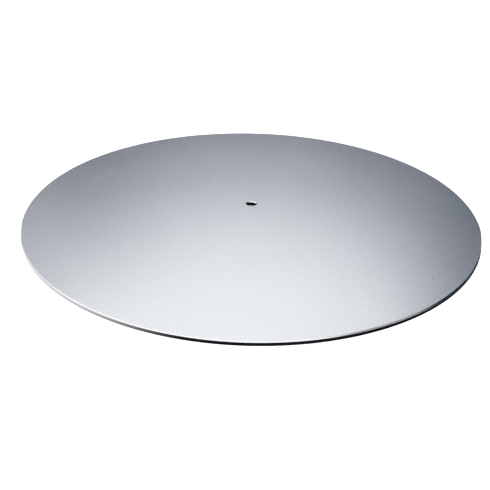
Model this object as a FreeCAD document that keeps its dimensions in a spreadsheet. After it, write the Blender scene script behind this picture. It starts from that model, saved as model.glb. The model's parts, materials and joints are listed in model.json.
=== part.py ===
"""A low banding wheel: the hand-turned stand on which a potter bands, trims and decorates a pot.

A thin flat round wheel head is bolted from below to a cast hub, so that its top face stays bare apart
from the centring hole. The hub is locked to a steel spindle, which turns in two shielded ball bearings
in the neck of a heavy round cast base. A skirt on the hub hangs over the neck and keeps slip and water
out of the bearings. Everything under the head is built up along one vertical axis.

Millimetres, +Z up. The origin is the centre of the base, on the table that the feet stand on.
"""

import FreeCAD, Part
import os
import re

import Sketcher

# The driving dimensions: (name, value, meaning). Each one can be changed by itself.
SIZES = [
    ("disc_dia", 300, "wheel head, across"),
    ("disc_thick", 3, "wheel head, sheet thickness"),
    ("rim_chamfer", 0.5, "bevel turned on both edges of the rim"),
    ("hole_dia", 6.5, "centring hole in the wheel head, clearance for M6"),
    ("hole_chamfer", 0.5, "bevel round the top of the centring hole"),
    ("deburr", 0.3, "broken edge on turned steel and sheet"),
    ("stud_count", 6, "weld studs under the wheel head"),
    ("stud_circle", 80, "circle of the weld studs, across"),
    ("stud_dia", 4, "weld stud, M4"),
    ("stud_length", 12, "weld stud, from the underside of the head to its end"),
    ("stud_foot_dia", 5.5, "welded foot of the stud, across"),
    ("stud_foot_thick", 0.8, "welded foot of the stud"),
    ("nut_flats", 7, "M4 nut, across flats"),
    ("nut_thick", 3.2, "M4 nut"),
    ("washer_dia", 9, "M4 washer, across"),
    ("washer_thick", 0.8, "M4 washer"),
    ("screw_gap", 0.25, "room around a screw in a clearance hole, on radius"),
    ("flange_dia", 100, "hub flange, across"),
    ("flange_thick", 6, "hub flange"),
    ("boss_dia", 34, "hub boss around the spindle, across"),
    ("boss_length", 8, "hub boss, from its lower face to the flange"),
    ("skirt_gap", 2, "room between the hub's skirt and the neck, on radius"),
    ("skirt_wall", 3, "wall of the hub's skirt"),
    ("skirt_drop", 7, "how far the skirt hangs below the boss"),
    ("hub_fillet", 2, "cast corner where the skirt meets the flange"),
    ("rib_count", 3, "ribs under the flange, with a grub screw between each two"),
    ("rib_thick", 4, "rib under the flange"),
    ("rib_margin", 3, "flange left bare outside a rib"),
    ("rib_depth", 9, "height of a rib where it meets the skirt"),
    ("grub_dia", 5, "grub screw, M5"),
    ("grub_length", 8, "grub screw"),
    ("grub_socket", 2.5, "hexagon socket of the grub screw, across flats"),
    ("grub_socket_depth", 2, "depth of that socket"),
    ("overrun", 1, "how far outside the piece a sideways drilling starts"),
    ("shaft_dia", 15, "spindle, and the bore of the bearings"),
    ("collar_dia", 21, "collar of the spindle, across"),
    ("collar_thick", 2, "collar of the spindle"),
    ("spindle_tail", 4, "spindle below the lower bearing"),
    ("spindle_bevel", 0.8, "bevel on both ends of the spindle"),
    ("tap_dia", 5, "core of the M6 thread in the top of the spindle"),
    ("tap_depth", 16, "depth of that thread"),
    ("tap_bevel", 0.6, "countersink at the mouth of that thread"),
    ("bearing_dia", 35, "ball bearing, across"),
    ("bearing_width", 11, "ball bearing"),
    ("ball_dia", 5.95, "ball"),
    ("ball_count", 8, "balls in each bearing"),
    ("ball_gap", 0.02, "room between a ball and each race"),
    ("race_ratio", 0.52, "radius of the race groove over the diameter of the ball"),
    ("race_depth", 1.245, "depth of the race groove in each bearing ring"),
    ("cage_gap", 0.55, "room between the cage and each ring, on radius"),
    ("cage_margin", 1.5, "face of the bearing to the cage"),
    ("pocket_gap", 0.1, "room around a ball in the cage, on radius"),
    ("shield_thick", 0.6, "bearing shield"),
    ("shield_inset", 0.5, "face of the bearing to its shield"),
    ("shield_bite", 0.95, "how far the shield is let into the outer ring"),
    ("shield_gap", 0.25, "room between the shield and the inner ring"),
    ("bearing_spacing", 8, "between the two bearings"),
    ("sleeve_wall", 2.5, "wall of the sleeve between the inner rings"),
    ("shoulder", 2.5, "step in the housing that the outer rings seat on"),
    ("shim_wall", 3, "radial width of the shim washer"),
    ("shim_thick", 1, "shim washer under the lower inner ring"),
    ("clip_thick", 1, "retaining ring on the spindle"),
    ("clip_groove", 0.35, "depth of its groove"),
    ("clip_wall", 2.6, "radial width of that ring"),
    ("housing_clip_thick", 1.5, "retaining ring in the housing"),
    ("housing_clip_groove", 1, "depth of its groove"),
    ("housing_clip_wall", 2.5, "radial width of that ring"),
    ("lug_dia", 3.6, "lug of a retaining ring, across"),
    ("lug_hole", 1.6, "plier hole in a lug"),
    ("clip_opening", 3, "gap between the two lugs of a ring"),
    ("foot_proud", 3, "how far the feet hold the base off the table"),
    ("cover_dia", 60, "cover under the bearing housing, across"),
    ("cover_thick", 2, "cover under the bearing housing"),
    ("cover_fit", 0.2, "room around the cover, on radius"),
    ("cover_circle", 48, "circle of the cover screws, across"),
    ("cover_screws", 3, "screws in the cover"),
    ("cover_screw_dia", 3, "cover screw, M3"),
    ("cover_screw_length", 8, "cover screw, with its countersunk head"),
    ("cover_head_dia", 5.6, "countersunk head, across"),
    ("cover_socket", 2, "hexagon socket of the cover screw, across flats"),
    ("cover_socket_depth", 1.2, "depth of that socket"),
    ("end_gap", 2, "between the cover and the end of the spindle"),
    ("base_dia", 150, "cast base, across"),
    ("base_edge", 12, "height of the base's outer edge"),
    ("base_rise", 16, "height of the base's top where its slope would reach the neck"),
    ("base_round", 4, "rounding of the base's upper edge"),
    ("base_under_round", 1, "rounding of the base's lower edge"),
    ("neck_dia", 54, "neck around the bearings, across"),
    ("neck_lip", 0.8, "how far the neck stands above the upper bearing"),
    ("neck_sweep", 14, "radius of the sweep from the base into the neck"),
    ("neck_bevel", 1, "bevel on top of the neck"),
    ("relief_depth", 3.5, "hollow cast in the underside"),
    ("relief_inner", 72, "inside of that hollow, across"),
    ("relief_rim", 5, "rim left around that hollow"),
    ("foot_count", 4, "rubber feet"),
    ("foot_circle", 120, "circle of the feet, across"),
    ("foot_dia", 20, "rubber foot, across"),
    ("foot_fit", 0.2, "room around a foot in its pocket, on radius"),
    ("foot_pocket", 5, "depth of the pocket that a foot sits in"),
    ("foot_round", 1, "rounding of a foot's lower edge"),
    ("pad_wall", 3, "iron left around a foot's pocket"),
    ("foot_screw_dia", 4, "foot screw, M4"),
    ("foot_screw_length", 10, "foot screw, without its head"),
    ("foot_head_dia", 7.6, "pan head of the foot screw, across"),
    ("foot_head_thick", 2.4, "pan head of the foot screw"),
    ("foot_head_bevel", 0.6, "rounding of that head"),
    ("foot_head_lift", 0.6, "how far the screw head stays above the table"),
    ("foot_socket", 2.5, "hexagon socket of the foot screw, across flats"),
    ("foot_socket_depth", 1.4, "depth of that socket"),
    ("recess_gap", 0.4, "room around a washer in the foot, on radius"),
]
NAMES = {name for name, _, _ in SIZES}

# Heights above the table, from the feet up. Each is the one below it plus one named size or more.
UNDERSIDE = "foot_proud"
COVER_TOP = f"{UNDERSIDE} + cover_thick"
SPINDLE_END = f"{COVER_TOP} + end_gap"
LOWER_BEARING = f"{SPINDLE_END} + spindle_tail"
SHOULDER = f"{LOWER_BEARING} + bearing_width"
UPPER_BEARING = f"{SHOULDER} + bearing_spacing"
COLLAR = f"{UPPER_BEARING} + bearing_width"
BOSS = f"{COLLAR} + collar_thick"
FLANGE = f"{BOSS} + boss_length"
HEAD = f"{FLANGE} + flange_thick"

# Radii that more than one piece reads.
SHAFT = "shaft_dia / 2"
BEARING = "bearing_dia / 2"
PITCH = f"({SHAFT} + {BEARING}) / 2"
INNER_RACE = f"({PITCH} - ball_dia / 2 - ball_gap)"
OUTER_RACE = f"({PITCH} + ball_dia / 2 + ball_gap)"
INNER_SHOULDER = f"({INNER_RACE} + race_depth)"
OUTER_SHOULDER = f"({OUTER_RACE} - race_depth)"
GROOVE = "ball_dia * race_ratio"
NECK = "neck_dia / 2"
SKIRT_INNER = f"({NECK} + skirt_gap)"
SKIRT_OUTER = f"({SKIRT_INNER} + skirt_wall)"
HEX_CORNER = 3**0.5

doc = FreeCAD.newDocument("BandingWheel")
sheet = doc.addObject("Spreadsheet::Sheet", "Sizes")


def fill_sheet():
    """Writes each driving dimension into the sheet, with its name as the cell's alias."""
    for row, (name, value, meaning) in enumerate(SIZES, 1):
        sheet.set(f"A{row}", meaning)
        sheet.set(f"B{row}", str(value))
        sheet.setAlias(f"B{row}", name)
    doc.recompute()


def cell(formula):
    """The formula with each size's name pointed at its cell in the sheet."""
    return re.sub(r"[a-z]\w*", lambda word: f"Sizes.{word[0]}" if word[0] in NAMES else word[0], formula)


def size_of(formula):
    """What the formula comes to now, as a plain number."""
    return float(sheet.evalExpression(cell(formula)))


def above(level, datum):
    """The height of one level over another, for a piece whose own zero is the datum."""
    return f"({level}) - ({datum})"


def piece(label, height="0"):
    """An empty body for one sub-part, with its own zero at that height above the table."""
    body = doc.addObject("PartDesign::Body", label)
    body.Label = label
    body.AllowCompound = True
    body.setExpression(".Placement.Base.z", cell(height))
    return body


def origin(body, role):
    """One of the body's own planes or axes."""
    return next(item for item in body.Origin.OriginFeatures if item.Role == role)


def finish(body, feature):
    """Makes the feature the body's last one and works it out."""
    body.Tip = feature
    doc.recompute()
    return feature


def place_corner(sketch, line, start, formula, kind, axis):
    """Ties one coordinate of a line's start point to its formula."""
    if start == 0:
        sketch.addConstraint(Sketcher.Constraint("PointOnObject", line, 1, axis))
        return
    index = sketch.addConstraint(Sketcher.Constraint(kind, -1, 1, line, 1, start))
    sketch.setExpression(f"Constraints[{index}]", cell(formula))


def outline(body, corners):
    """A closed outline on the body's XZ plane. Each corner is a pair of formulas, radius and height."""
    sketch = body.newObject("Sketcher::SketchObject", "Outline")
    sketch.AttachmentSupport = (origin(body, "XZ_Plane"), [""])
    sketch.MapMode = "FlatFace"
    points = [FreeCAD.Vector(size_of(radius), size_of(height), 0) for radius, height in corners]
    ends = points[1:] + points[:1]
    for start, end in zip(points, ends):
        sketch.addGeometry(Part.LineSegment(start, end))
    for line in range(len(points)):
        sketch.addConstraint(Sketcher.Constraint("Coincident", line, 2, (line + 1) % len(points), 1))
    for line, (point, (radius, height)) in enumerate(zip(points, corners)):
        place_corner(sketch, line, point.x, radius, "DistanceX", -2)
        place_corner(sketch, line, point.y, height, "DistanceY", -1)
    return sketch


def turned(body, corners, kind="Revolution"):
    """Turns an outline once round the body's vertical axis. Kind Groove cuts, and Revolution adds."""
    feature = body.newObject(f"PartDesign::{kind}", kind)
    feature.Profile = outline(body, corners)
    feature.ReferenceAxis = (origin(body, "Z_Axis"), [""])
    feature.Angle = 360
    return finish(body, feature)


def ring(body, inner, outer, low, high, kind="Revolution"):
    """A plain ring, or a cut of that shape, by the formulas of its two radii and its two heights."""
    return turned(body, [(inner, low), (outer, low), (outer, high), (inner, high)], kind)


def primitive(body, kind, plane="XY_Plane", at=("0", "0", "0"), **sizes):
    """A PartDesign primitive such as AdditiveCylinder, set on one of the body's planes."""
    feature = body.newObject(f"PartDesign::{kind}", kind)
    feature.AttachmentSupport = (origin(body, plane), [""])
    feature.MapMode = "FlatFace"
    for axis, formula in zip("xyz", at):
        feature.setExpression(f"AttachmentOffset.Base.{axis}", cell(formula))
    for name, formula in sizes.items():
        feature.setExpression(name, cell(formula))
    return finish(body, feature)


def hexagon(body, kind, flats, height, **place):
    """A hexagonal prism, by its size across flats."""
    feature = primitive(body, kind, Circumradius=f"{flats} / {HEX_CORNER}", Height=height, **place)
    feature.Polygon = 6
    return finish(body, feature)


def around(body, features, count):
    """Repeats features evenly round the body's vertical axis."""
    pattern = body.newObject("PartDesign::PolarPattern", "Pattern")
    pattern.Originals = features
    pattern.Axis = (origin(body, "Z_Axis"), [""])
    pattern.Angle = 360
    pattern.setExpression("Occurrences", cell(count))
    return finish(body, pattern)


def circles(feature, places):
    """The names of the feature's round edges that lie at one of the places, each a radius and a height."""
    wanted = [(size_of(radius), size_of(height)) for radius, height in places]
    found = []
    for number, edge in enumerate(feature.Shape.Edges, 1):
        if not isinstance(edge.Curve, Part.Circle):
            continue
        at = (edge.Curve.Radius, edge.Curve.Center.z)
        if any(abs(at[0] - radius) < 1e-6 and abs(at[1] - height) < 1e-6 for radius, height in wanted):
            found.append(f"Edge{number}")
    return found


def dress(body, kind, size, places):
    """A Chamfer or a Fillet of that size on the round edges at the places."""
    base = body.Tip
    feature = body.newObject(f"PartDesign::{kind}", kind)
    feature.Base = (base, circles(base, places))
    feature.setExpression("Size" if kind == "Chamfer" else "Radius", cell(size))
    return finish(body, feature)


def wheel_disc():
    """The wheel head: a flat sheet disc with a centring hole and bevelled edges."""
    body = piece("wheel_disc", HEAD)
    ring(body, "hole_dia / 2", "disc_dia / 2", "0", "disc_thick")
    dress(body, "Chamfer", "rim_chamfer", [("disc_dia / 2", "0"), ("disc_dia / 2", "disc_thick")])
    dress(body, "Chamfer", "hole_chamfer", [("hole_dia / 2", "disc_thick")])
    dress(body, "Chamfer", "deburr", [("hole_dia / 2", "0")])


# The studs stand half a step round from the ribs, so that a spanner reaches each nut.
STUD_AT = ("stud_circle / 2 * cos(180 / stud_count)", "stud_circle / 2 * sin(180 / stud_count)")


def weld_studs():
    """Threaded studs that are welded to the underside of the wheel head and leave no mark on top."""
    body = piece("weld_studs", HEAD)
    foot = primitive(
        body,
        "AdditiveCylinder",
        at=(*STUD_AT, "-stud_foot_thick"),
        Radius="stud_foot_dia / 2",
        Height="stud_foot_thick",
    )
    shank = primitive(
        body, "AdditiveCylinder", at=(*STUD_AT, "-stud_length"), Radius="stud_dia / 2", Height="stud_length"
    )
    around(body, [foot, shank], "stud_count")


def stud_washers():
    """Washers between the flange and the nuts."""
    body = piece("stud_washers", f"{FLANGE} - washer_thick")
    place = {"at": (*STUD_AT, "0"), "Height": "washer_thick"}
    plate = primitive(body, "AdditiveCylinder", Radius="washer_dia / 2", **place)
    hole = primitive(body, "SubtractiveCylinder", Radius="stud_dia / 2 + screw_gap / 2", **place)
    around(body, [plate, hole], "stud_count")


def stud_nuts():
    """Nuts on the weld studs."""
    body = piece("stud_nuts", f"{FLANGE} - washer_thick - nut_thick")
    place = {"at": (*STUD_AT, "0")}
    block = hexagon(body, "AdditivePrism", "nut_flats", "nut_thick", **place)
    hole = primitive(body, "SubtractiveCylinder", Radius="stud_dia / 2", Height="nut_thick", **place)
    around(body, [block, hole], "stud_count")


def hub():
    """The cast hub: flange, boss, skirt and ribs, drilled for the studs and the grub screws."""
    body = piece("hub", BOSS)
    top = "(boss_length + flange_thick)"
    corners = [
        (SHAFT, "0"),
        ("boss_dia / 2", "0"),
        ("boss_dia / 2", "boss_length"),
        (SKIRT_INNER, "boss_length"),
        (SKIRT_INNER, "-skirt_drop"),
        (SKIRT_OUTER, "-skirt_drop"),
        (SKIRT_OUTER, "boss_length"),
        ("flange_dia / 2", "boss_length"),
        ("flange_dia / 2", top),
        (SHAFT, top),
    ]
    turned(body, corners)
    roots = [("boss_dia / 2", "boss_length"), (SKIRT_INNER, "boss_length"), (SKIRT_OUTER, "boss_length")]
    dress(body, "Fillet", "hub_fillet", roots)
    dress(body, "Chamfer", "deburr", [("flange_dia / 2", "boss_length"), (SKIRT_OUTER, "-skirt_drop")])
    rib_foot = f"({SKIRT_OUTER} - skirt_wall / 2)"
    rib = body.newObject("PartDesign::Pad", "Rib")
    rib.Profile = outline(
        body,
        [
            (rib_foot, "boss_length - rib_depth"),
            (SKIRT_OUTER, "boss_length - rib_depth"),
            ("flange_dia / 2 - rib_margin", "boss_length"),
            ("flange_dia / 2 - rib_margin", "boss_length + flange_thick / 2"),
            (rib_foot, "boss_length + flange_thick / 2"),
        ],
    )
    rib.Midplane = True
    rib.setExpression("Length", cell("rib_thick"))
    finish(body, rib)
    around(body, [rib], "rib_count")
    stud_hole = primitive(
        body,
        "SubtractiveCylinder",
        at=(*STUD_AT, "boss_length"),
        Radius="stud_dia / 2 + screw_gap",
        Height="flange_thick",
    )
    stud_seat = primitive(
        body,
        "SubtractiveCylinder",
        at=(*STUD_AT, f"{top} - stud_foot_thick - screw_gap"),
        Radius="stud_foot_dia / 2 + screw_gap",
        Height="stud_foot_thick + screw_gap",
    )
    around(body, [stud_hole, stud_seat], "stud_count")
    grub_hole = primitive(
        body,
        "SubtractiveCylinder",
        plane="YZ_Plane",
        at=("0", "boss_length / 2", "-boss_dia / 2 - overrun"),
        Radius="grub_dia / 2",
        Height=f"boss_dia / 2 + overrun - {SHAFT} / 2",
    )
    around(body, [grub_hole], "rib_count")
    key_hole = primitive(
        body,
        "SubtractiveCylinder",
        plane="YZ_Plane",
        at=("0", "boss_length / 2", f"-{SKIRT_OUTER} - overrun"),
        Radius="grub_dia / 2 + screw_gap",
        Height="skirt_wall + 2 * overrun",
    )
    around(body, [key_hole], "rib_count")


def grub_screws():
    """Grub screws that lock the hub to the spindle, each with a hexagon socket at its outer end."""
    body = piece("grub_screws", f"{BOSS} + boss_length / 2")
    outer = f"(-{SHAFT} - grub_length)"
    screw = primitive(
        body,
        "AdditiveCylinder",
        plane="YZ_Plane",
        at=("0", "0", outer),
        Radius="grub_dia / 2",
        Height="grub_length",
    )
    socket = hexagon(
        body, "SubtractivePrism", "grub_socket", "grub_socket_depth", plane="YZ_Plane", at=("0", "0", outer)
    )
    around(body, [screw, socket], "rib_count")


def spindle():
    """The spindle, with its collar, the retaining ring's groove and the tapped hole in its top."""
    body = piece("spindle", SPINDLE_END)
    clip_top = "(spindle_tail - shim_thick)"
    collar = f"({above(COLLAR, SPINDLE_END)})"
    top = f"({above(HEAD, SPINDLE_END)})"
    groove = f"({SHAFT} - clip_groove)"
    corners = [
        ("0", "0"),
        (SHAFT, "0"),
        (SHAFT, f"{clip_top} - clip_thick"),
        (groove, f"{clip_top} - clip_thick"),
        (groove, clip_top),
        (SHAFT, clip_top),
        (SHAFT, collar),
        ("collar_dia / 2", collar),
        ("collar_dia / 2", f"{collar} + collar_thick"),
        (SHAFT, f"{collar} + collar_thick"),
        (SHAFT, top),
        ("0", top),
    ]
    turned(body, corners)
    dress(body, "Chamfer", "spindle_bevel", [(SHAFT, "0"), (SHAFT, top)])
    dress(
        body,
        "Chamfer",
        "deburr",
        [("collar_dia / 2", collar), ("collar_dia / 2", f"{collar} + collar_thick")],
    )
    primitive(
        body,
        "SubtractiveCylinder",
        at=("0", "0", f"{top} - tap_depth"),
        Radius="tap_dia / 2",
        Height="tap_depth",
    )
    dress(body, "Chamfer", "tap_bevel", [("tap_dia / 2", top)])


def inner_ring(label, height):
    """The inner ring of a ball bearing, with its race."""
    body = piece(label, height)
    ring(body, SHAFT, INNER_SHOULDER, "0", "bearing_width")
    primitive(
        body,
        "SubtractiveTorus",
        at=("0", "0", "bearing_width / 2"),
        Radius1=f"{INNER_RACE} + {GROOVE}",
        Radius2=GROOVE,
    )
    dress(body, "Chamfer", "deburr", [(SHAFT, "0"), (SHAFT, "bearing_width")])


def outer_ring(label, height):
    """The outer ring of a ball bearing, with its race and a step at each end for a shield."""
    body = piece(label, height)
    seat = f"({OUTER_SHOULDER} + shield_bite)"
    step = "(shield_inset + shield_thick)"
    ring(body, OUTER_SHOULDER, BEARING, "0", "bearing_width")
    primitive(
        body,
        "SubtractiveTorus",
        at=("0", "0", "bearing_width / 2"),
        Radius1=f"{OUTER_RACE} - {GROOVE}",
        Radius2=GROOVE,
    )
    bore = f"({OUTER_SHOULDER} / 2)"
    ring(body, bore, seat, "0", step, "Groove")
    ring(body, bore, seat, f"bearing_width - {step}", "bearing_width", "Groove")
    dress(body, "Chamfer", "deburr", [(BEARING, "0"), (BEARING, "bearing_width")])


def shields(label, height):
    """The two sheet shields of a ball bearing, pressed into the steps of its outer ring."""
    body = piece(label, height)
    inner = f"{INNER_SHOULDER} + shield_gap"
    outer = f"{OUTER_SHOULDER} + shield_bite"
    ring(body, inner, outer, "shield_inset", "shield_inset + shield_thick")
    lid = "bearing_width - shield_inset"
    ring(body, inner, outer, f"{lid} - shield_thick", lid)


def balls(label, height):
    """The balls of a ball bearing."""
    body = piece(label, height)
    ball = primitive(body, "AdditiveSphere", at=(PITCH, "0", "bearing_width / 2"), Radius="ball_dia / 2")
    around(body, [ball], "ball_count")


def cage(label, height):
    """The cage that spaces the balls of a bearing, with a round pocket for each."""
    body = piece(label, height)
    inner = f"({INNER_SHOULDER} + cage_gap)"
    outer = f"({OUTER_SHOULDER} - cage_gap)"
    ring(body, inner, outer, "cage_margin", "bearing_width - cage_margin")
    pocket = primitive(
        body,
        "SubtractiveCylinder",
        plane="YZ_Plane",
        at=("0", "bearing_width / 2", f"{inner} / 2"),
        Radius="ball_dia / 2 + pocket_gap",
        Height=outer,
    )
    around(body, [pocket], "ball_count")


def bearing(name, height):
    """One shielded deep-groove ball bearing, as its five separate pieces."""
    inner_ring(f"{name}_inner_ring", height)
    outer_ring(f"{name}_outer_ring", height)
    balls(f"{name}_balls", height)
    cage(f"{name}_cage", height)
    shields(f"{name}_shields", height)


def spacer_sleeve():
    """The sleeve that holds the two inner rings apart."""
    body = piece("spacer_sleeve", SHOULDER)
    ring(body, SHAFT, f"{SHAFT} + sleeve_wall", "0", "bearing_spacing")


def shim_washer():
    """The shim between the lower inner ring and the spindle's retaining ring."""
    body = piece("shim_washer", f"{LOWER_BEARING} - shim_thick")
    ring(body, SHAFT, f"{SHAFT} + shim_wall", "0", "shim_thick")


def retaining_ring(body, inner, outer, lug_circle, thick):
    """A sprung ring with an opening, and beside it two lugs with holes for the pliers."""
    ring(body, inner, outer, "0", thick)
    primitive(
        body,
        "SubtractiveBox",
        at=("0", "-clip_opening / 2", "0"),
        Length=f"{outer} * 2",
        Width="clip_opening",
        Height=thick,
    )
    for side in ("", "-"):
        place = {"at": (lug_circle, f"{side}(clip_opening + lug_dia) / 2", "0"), "Height": thick}
        primitive(body, "AdditiveCylinder", Radius="lug_dia / 2", **place)
        primitive(body, "SubtractiveCylinder", Radius="lug_hole / 2", **place)


def spindle_clip():
    """The retaining ring in the spindle's groove, which stops the head from lifting off."""
    body = piece("spindle_clip", f"{LOWER_BEARING} - shim_thick - clip_thick")
    inner = f"({SHAFT} - clip_groove)"
    retaining_ring(body, inner, f"({inner} + clip_wall)", f"({inner} + clip_wall / 2)", "clip_thick")


def housing_clip():
    """The retaining ring in the housing's groove, under the lower outer ring. Its lugs point inwards."""
    body = piece("housing_clip", f"{LOWER_BEARING} - housing_clip_thick")
    outer = f"({BEARING} + housing_clip_groove)"
    inner = f"({outer} - housing_clip_wall)"
    retaining_ring(body, inner, outer, f"({inner} - lug_dia / 4)", "housing_clip_thick")


COVER_SCREW_AT = ("cover_circle / 2", "0")
FOOT_AT = ("foot_circle / 2", "0")
FOOT_RECESS = "(foot_head_lift + foot_head_thick + washer_thick)"


def base_outline(body):
    """The turned body of the base: a broad foot that sweeps up into the neck, bored for the bearings."""
    neck_top = f"({above(COLLAR, UNDERSIDE)} + neck_lip)"
    upper_seat = f"({above(UPPER_BEARING, UNDERSIDE)})"
    lower_seat = f"({above(SHOULDER, UNDERSIDE)})"
    clip_top = f"({above(LOWER_BEARING, UNDERSIDE)})"
    clip_low = f"({clip_top} - housing_clip_thick)"
    step = f"({BEARING} - shoulder)"
    groove = f"({BEARING} + housing_clip_groove)"
    recess = "(cover_dia / 2 + cover_fit)"
    corners = [
        (recess, "0"),
        ("base_dia / 2", "0"),
        ("base_dia / 2", "base_edge"),
        (NECK, "base_rise"),
        (NECK, neck_top),
        (BEARING, neck_top),
        (BEARING, upper_seat),
        (step, upper_seat),
        (step, lower_seat),
        (BEARING, lower_seat),
        (BEARING, clip_top),
        (groove, clip_top),
        (groove, clip_low),
        (BEARING, clip_low),
        (BEARING, "cover_thick"),
        (recess, "cover_thick"),
    ]
    turned(body, corners)
    dress(body, "Fillet", "neck_sweep", [(NECK, "base_rise")])
    dress(body, "Fillet", "base_round", [("base_dia / 2", "base_edge")])
    dress(body, "Fillet", "base_under_round", [("base_dia / 2", "0")])
    dress(body, "Chamfer", "neck_bevel", [(NECK, neck_top)])
    dress(body, "Chamfer", "deburr", [(BEARING, neck_top)])


def base_casting():
    """The cast base, with the hollow, the foot pads and the tapped holes of its underside."""
    body = piece("base_casting", UNDERSIDE)
    base_outline(body)
    ring(body, "relief_inner / 2", "base_dia / 2 - relief_rim", "0", "relief_depth", "Groove")
    pad = primitive(
        body,
        "AdditiveCylinder",
        at=(*FOOT_AT, "0"),
        Radius="foot_dia / 2 + foot_fit + pad_wall",
        Height="relief_depth",
    )
    pocket = primitive(
        body,
        "SubtractiveCylinder",
        at=(*FOOT_AT, "0"),
        Radius="foot_dia / 2 + foot_fit",
        Height="foot_pocket",
    )
    thread = primitive(
        body,
        "SubtractiveCylinder",
        at=(*FOOT_AT, "0"),
        Radius="foot_screw_dia / 2",
        Height=f"{FOOT_RECESS} - washer_thick - foot_proud + foot_screw_length + deburr",
    )
    around(body, [pad, pocket, thread], "foot_count")
    cover_thread = primitive(
        body,
        "SubtractiveCylinder",
        at=(*COVER_SCREW_AT, "0"),
        Radius="cover_screw_dia / 2",
        Height="cover_screw_length + deburr",
    )
    around(body, [cover_thread], "cover_screws")


def bearing_cover():
    """The sheet cover let into the underside, below the spindle."""
    body = piece("bearing_cover", UNDERSIDE)
    primitive(body, "AdditiveCylinder", Radius="cover_dia / 2", Height="cover_thick")
    hole = primitive(
        body,
        "SubtractiveCylinder",
        at=(*COVER_SCREW_AT, "0"),
        Radius="cover_screw_dia / 2",
        Height="cover_thick",
    )
    sink = primitive(
        body,
        "SubtractiveCone",
        at=(*COVER_SCREW_AT, "0"),
        Radius1="cover_head_dia / 2",
        Radius2="cover_screw_dia / 2",
        Height="(cover_head_dia - cover_screw_dia) / 2",
    )
    around(body, [hole, sink], "cover_screws")


def cover_screws():
    """Countersunk screws that hold the cover, flush with it."""
    body = piece("cover_screws", UNDERSIDE)
    place = {"at": (*COVER_SCREW_AT, "0")}
    shank = primitive(
        body, "AdditiveCylinder", Radius="cover_screw_dia / 2", Height="cover_screw_length", **place
    )
    head = primitive(
        body,
        "AdditiveCone",
        Radius1="cover_head_dia / 2",
        Radius2="cover_screw_dia / 2",
        Height="(cover_head_dia - cover_screw_dia) / 2",
        **place,
    )
    socket = hexagon(body, "SubtractivePrism", "cover_socket", "cover_socket_depth", **place)
    around(body, [shank, head, socket], "cover_screws")


def rubber_feet():
    """Rubber feet let into the pads of the base, each recessed for its screw and washer."""
    body = piece("rubber_feet")
    place = {"at": (*FOOT_AT, "0")}
    foot = primitive(
        body, "AdditiveCylinder", Radius="foot_dia / 2", Height="foot_proud + foot_pocket", **place
    )
    rounding = dress(body, "Fillet", "foot_round", [("foot_dia / 2", "0")])
    recess = primitive(
        body,
        "SubtractiveCylinder",
        Radius="washer_dia / 2 + recess_gap",
        Height=FOOT_RECESS,
        **place,
    )
    hole = primitive(
        body,
        "SubtractiveCylinder",
        Radius="foot_screw_dia / 2",
        Height="foot_proud + foot_pocket",
        **place,
    )
    around(body, [foot, rounding, recess, hole], "foot_count")


def foot_washers():
    """Washers over the heads of the foot screws."""
    body = piece("foot_washers", f"{FOOT_RECESS} - washer_thick")
    place = {"at": (*FOOT_AT, "0"), "Height": "washer_thick"}
    plate = primitive(body, "AdditiveCylinder", Radius="washer_dia / 2", **place)
    hole = primitive(body, "SubtractiveCylinder", Radius="foot_screw_dia / 2 + screw_gap / 2", **place)
    around(body, [plate, hole], "foot_count")


def foot_screws():
    """Pan-head screws that hold the feet, with their heads clear of the table."""
    body = piece("foot_screws", "foot_head_lift")
    place = {"at": (*FOOT_AT, "0")}
    rim = primitive(
        body,
        "AdditiveCone",
        Radius1="foot_head_dia / 2 - foot_head_bevel",
        Radius2="foot_head_dia / 2",
        Height="foot_head_bevel",
        **place,
    )
    head = primitive(
        body,
        "AdditiveCylinder",
        at=(*FOOT_AT, "foot_head_bevel"),
        Radius="foot_head_dia / 2",
        Height="foot_head_thick - foot_head_bevel",
    )
    shank = primitive(
        body,
        "AdditiveCylinder",
        Radius="foot_screw_dia / 2",
        Height="foot_head_thick + foot_screw_length",
        **place,
    )
    socket = hexagon(body, "SubtractivePrism", "foot_socket", "foot_socket_depth", **place)
    around(body, [rim, head, shank, socket], "foot_count")


def export():
    """Checks every object and sub-part, then writes each sub-part to parts/LABEL.step."""
    doc.recompute()
    failed = [item.Label for item in doc.Objects if {"Invalid", "Error"} & set(item.State)]
    if failed:
        raise RuntimeError(f"these objects could not be worked out: {failed}")
    bodies = [item for item in doc.Objects if item.TypeId == "PartDesign::Body"]
    for body in bodies:
        if body.Shape.isNull() or not body.Shape.isValid():
            raise RuntimeError(f"{body.Label} has no valid shape")
    os.makedirs("parts", exist_ok=True)
    for body in bodies:
        body.Shape.exportStep(f"parts/{body.Label}.step")
        box = body.Shape.optimalBoundingBox()
        print(
            f"{body.Label}: {len(body.Shape.Solids)} solids, {body.Shape.Volume:.0f} mm3,",
            f"z {box.ZMin:.2f} to {box.ZMax:.2f}, {box.XLength:.1f} x {box.YLength:.1f}",
        )


fill_sheet()
wheel_disc()
weld_studs()
stud_washers()
stud_nuts()
hub()
grub_screws()
spindle()
bearing("upper", UPPER_BEARING)
bearing("lower", LOWER_BEARING)
spacer_sleeve()
shim_washer()
spindle_clip()
housing_clip()
base_casting()
bearing_cover()
cover_screws()
rubber_feet()
foot_washers()
foot_screws()
export()
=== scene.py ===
# %% [markdown]
# # A low banding wheel
# A potter sets a pot on the bare disc of this wheel, spins it by hand and holds a brush still, so that the
# brush draws a band. This lesson builds the looks of the wheel round a finished engineering model: the
# model says where every piece is and how large, and Blender gives each piece its fine shape and finish.
# Most pieces are turned on a lathe or repeated round one axis, so two small node trees do most of the work.

import json
import math

import bmesh
import bpy
from mathutils import Matrix, Vector


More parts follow.
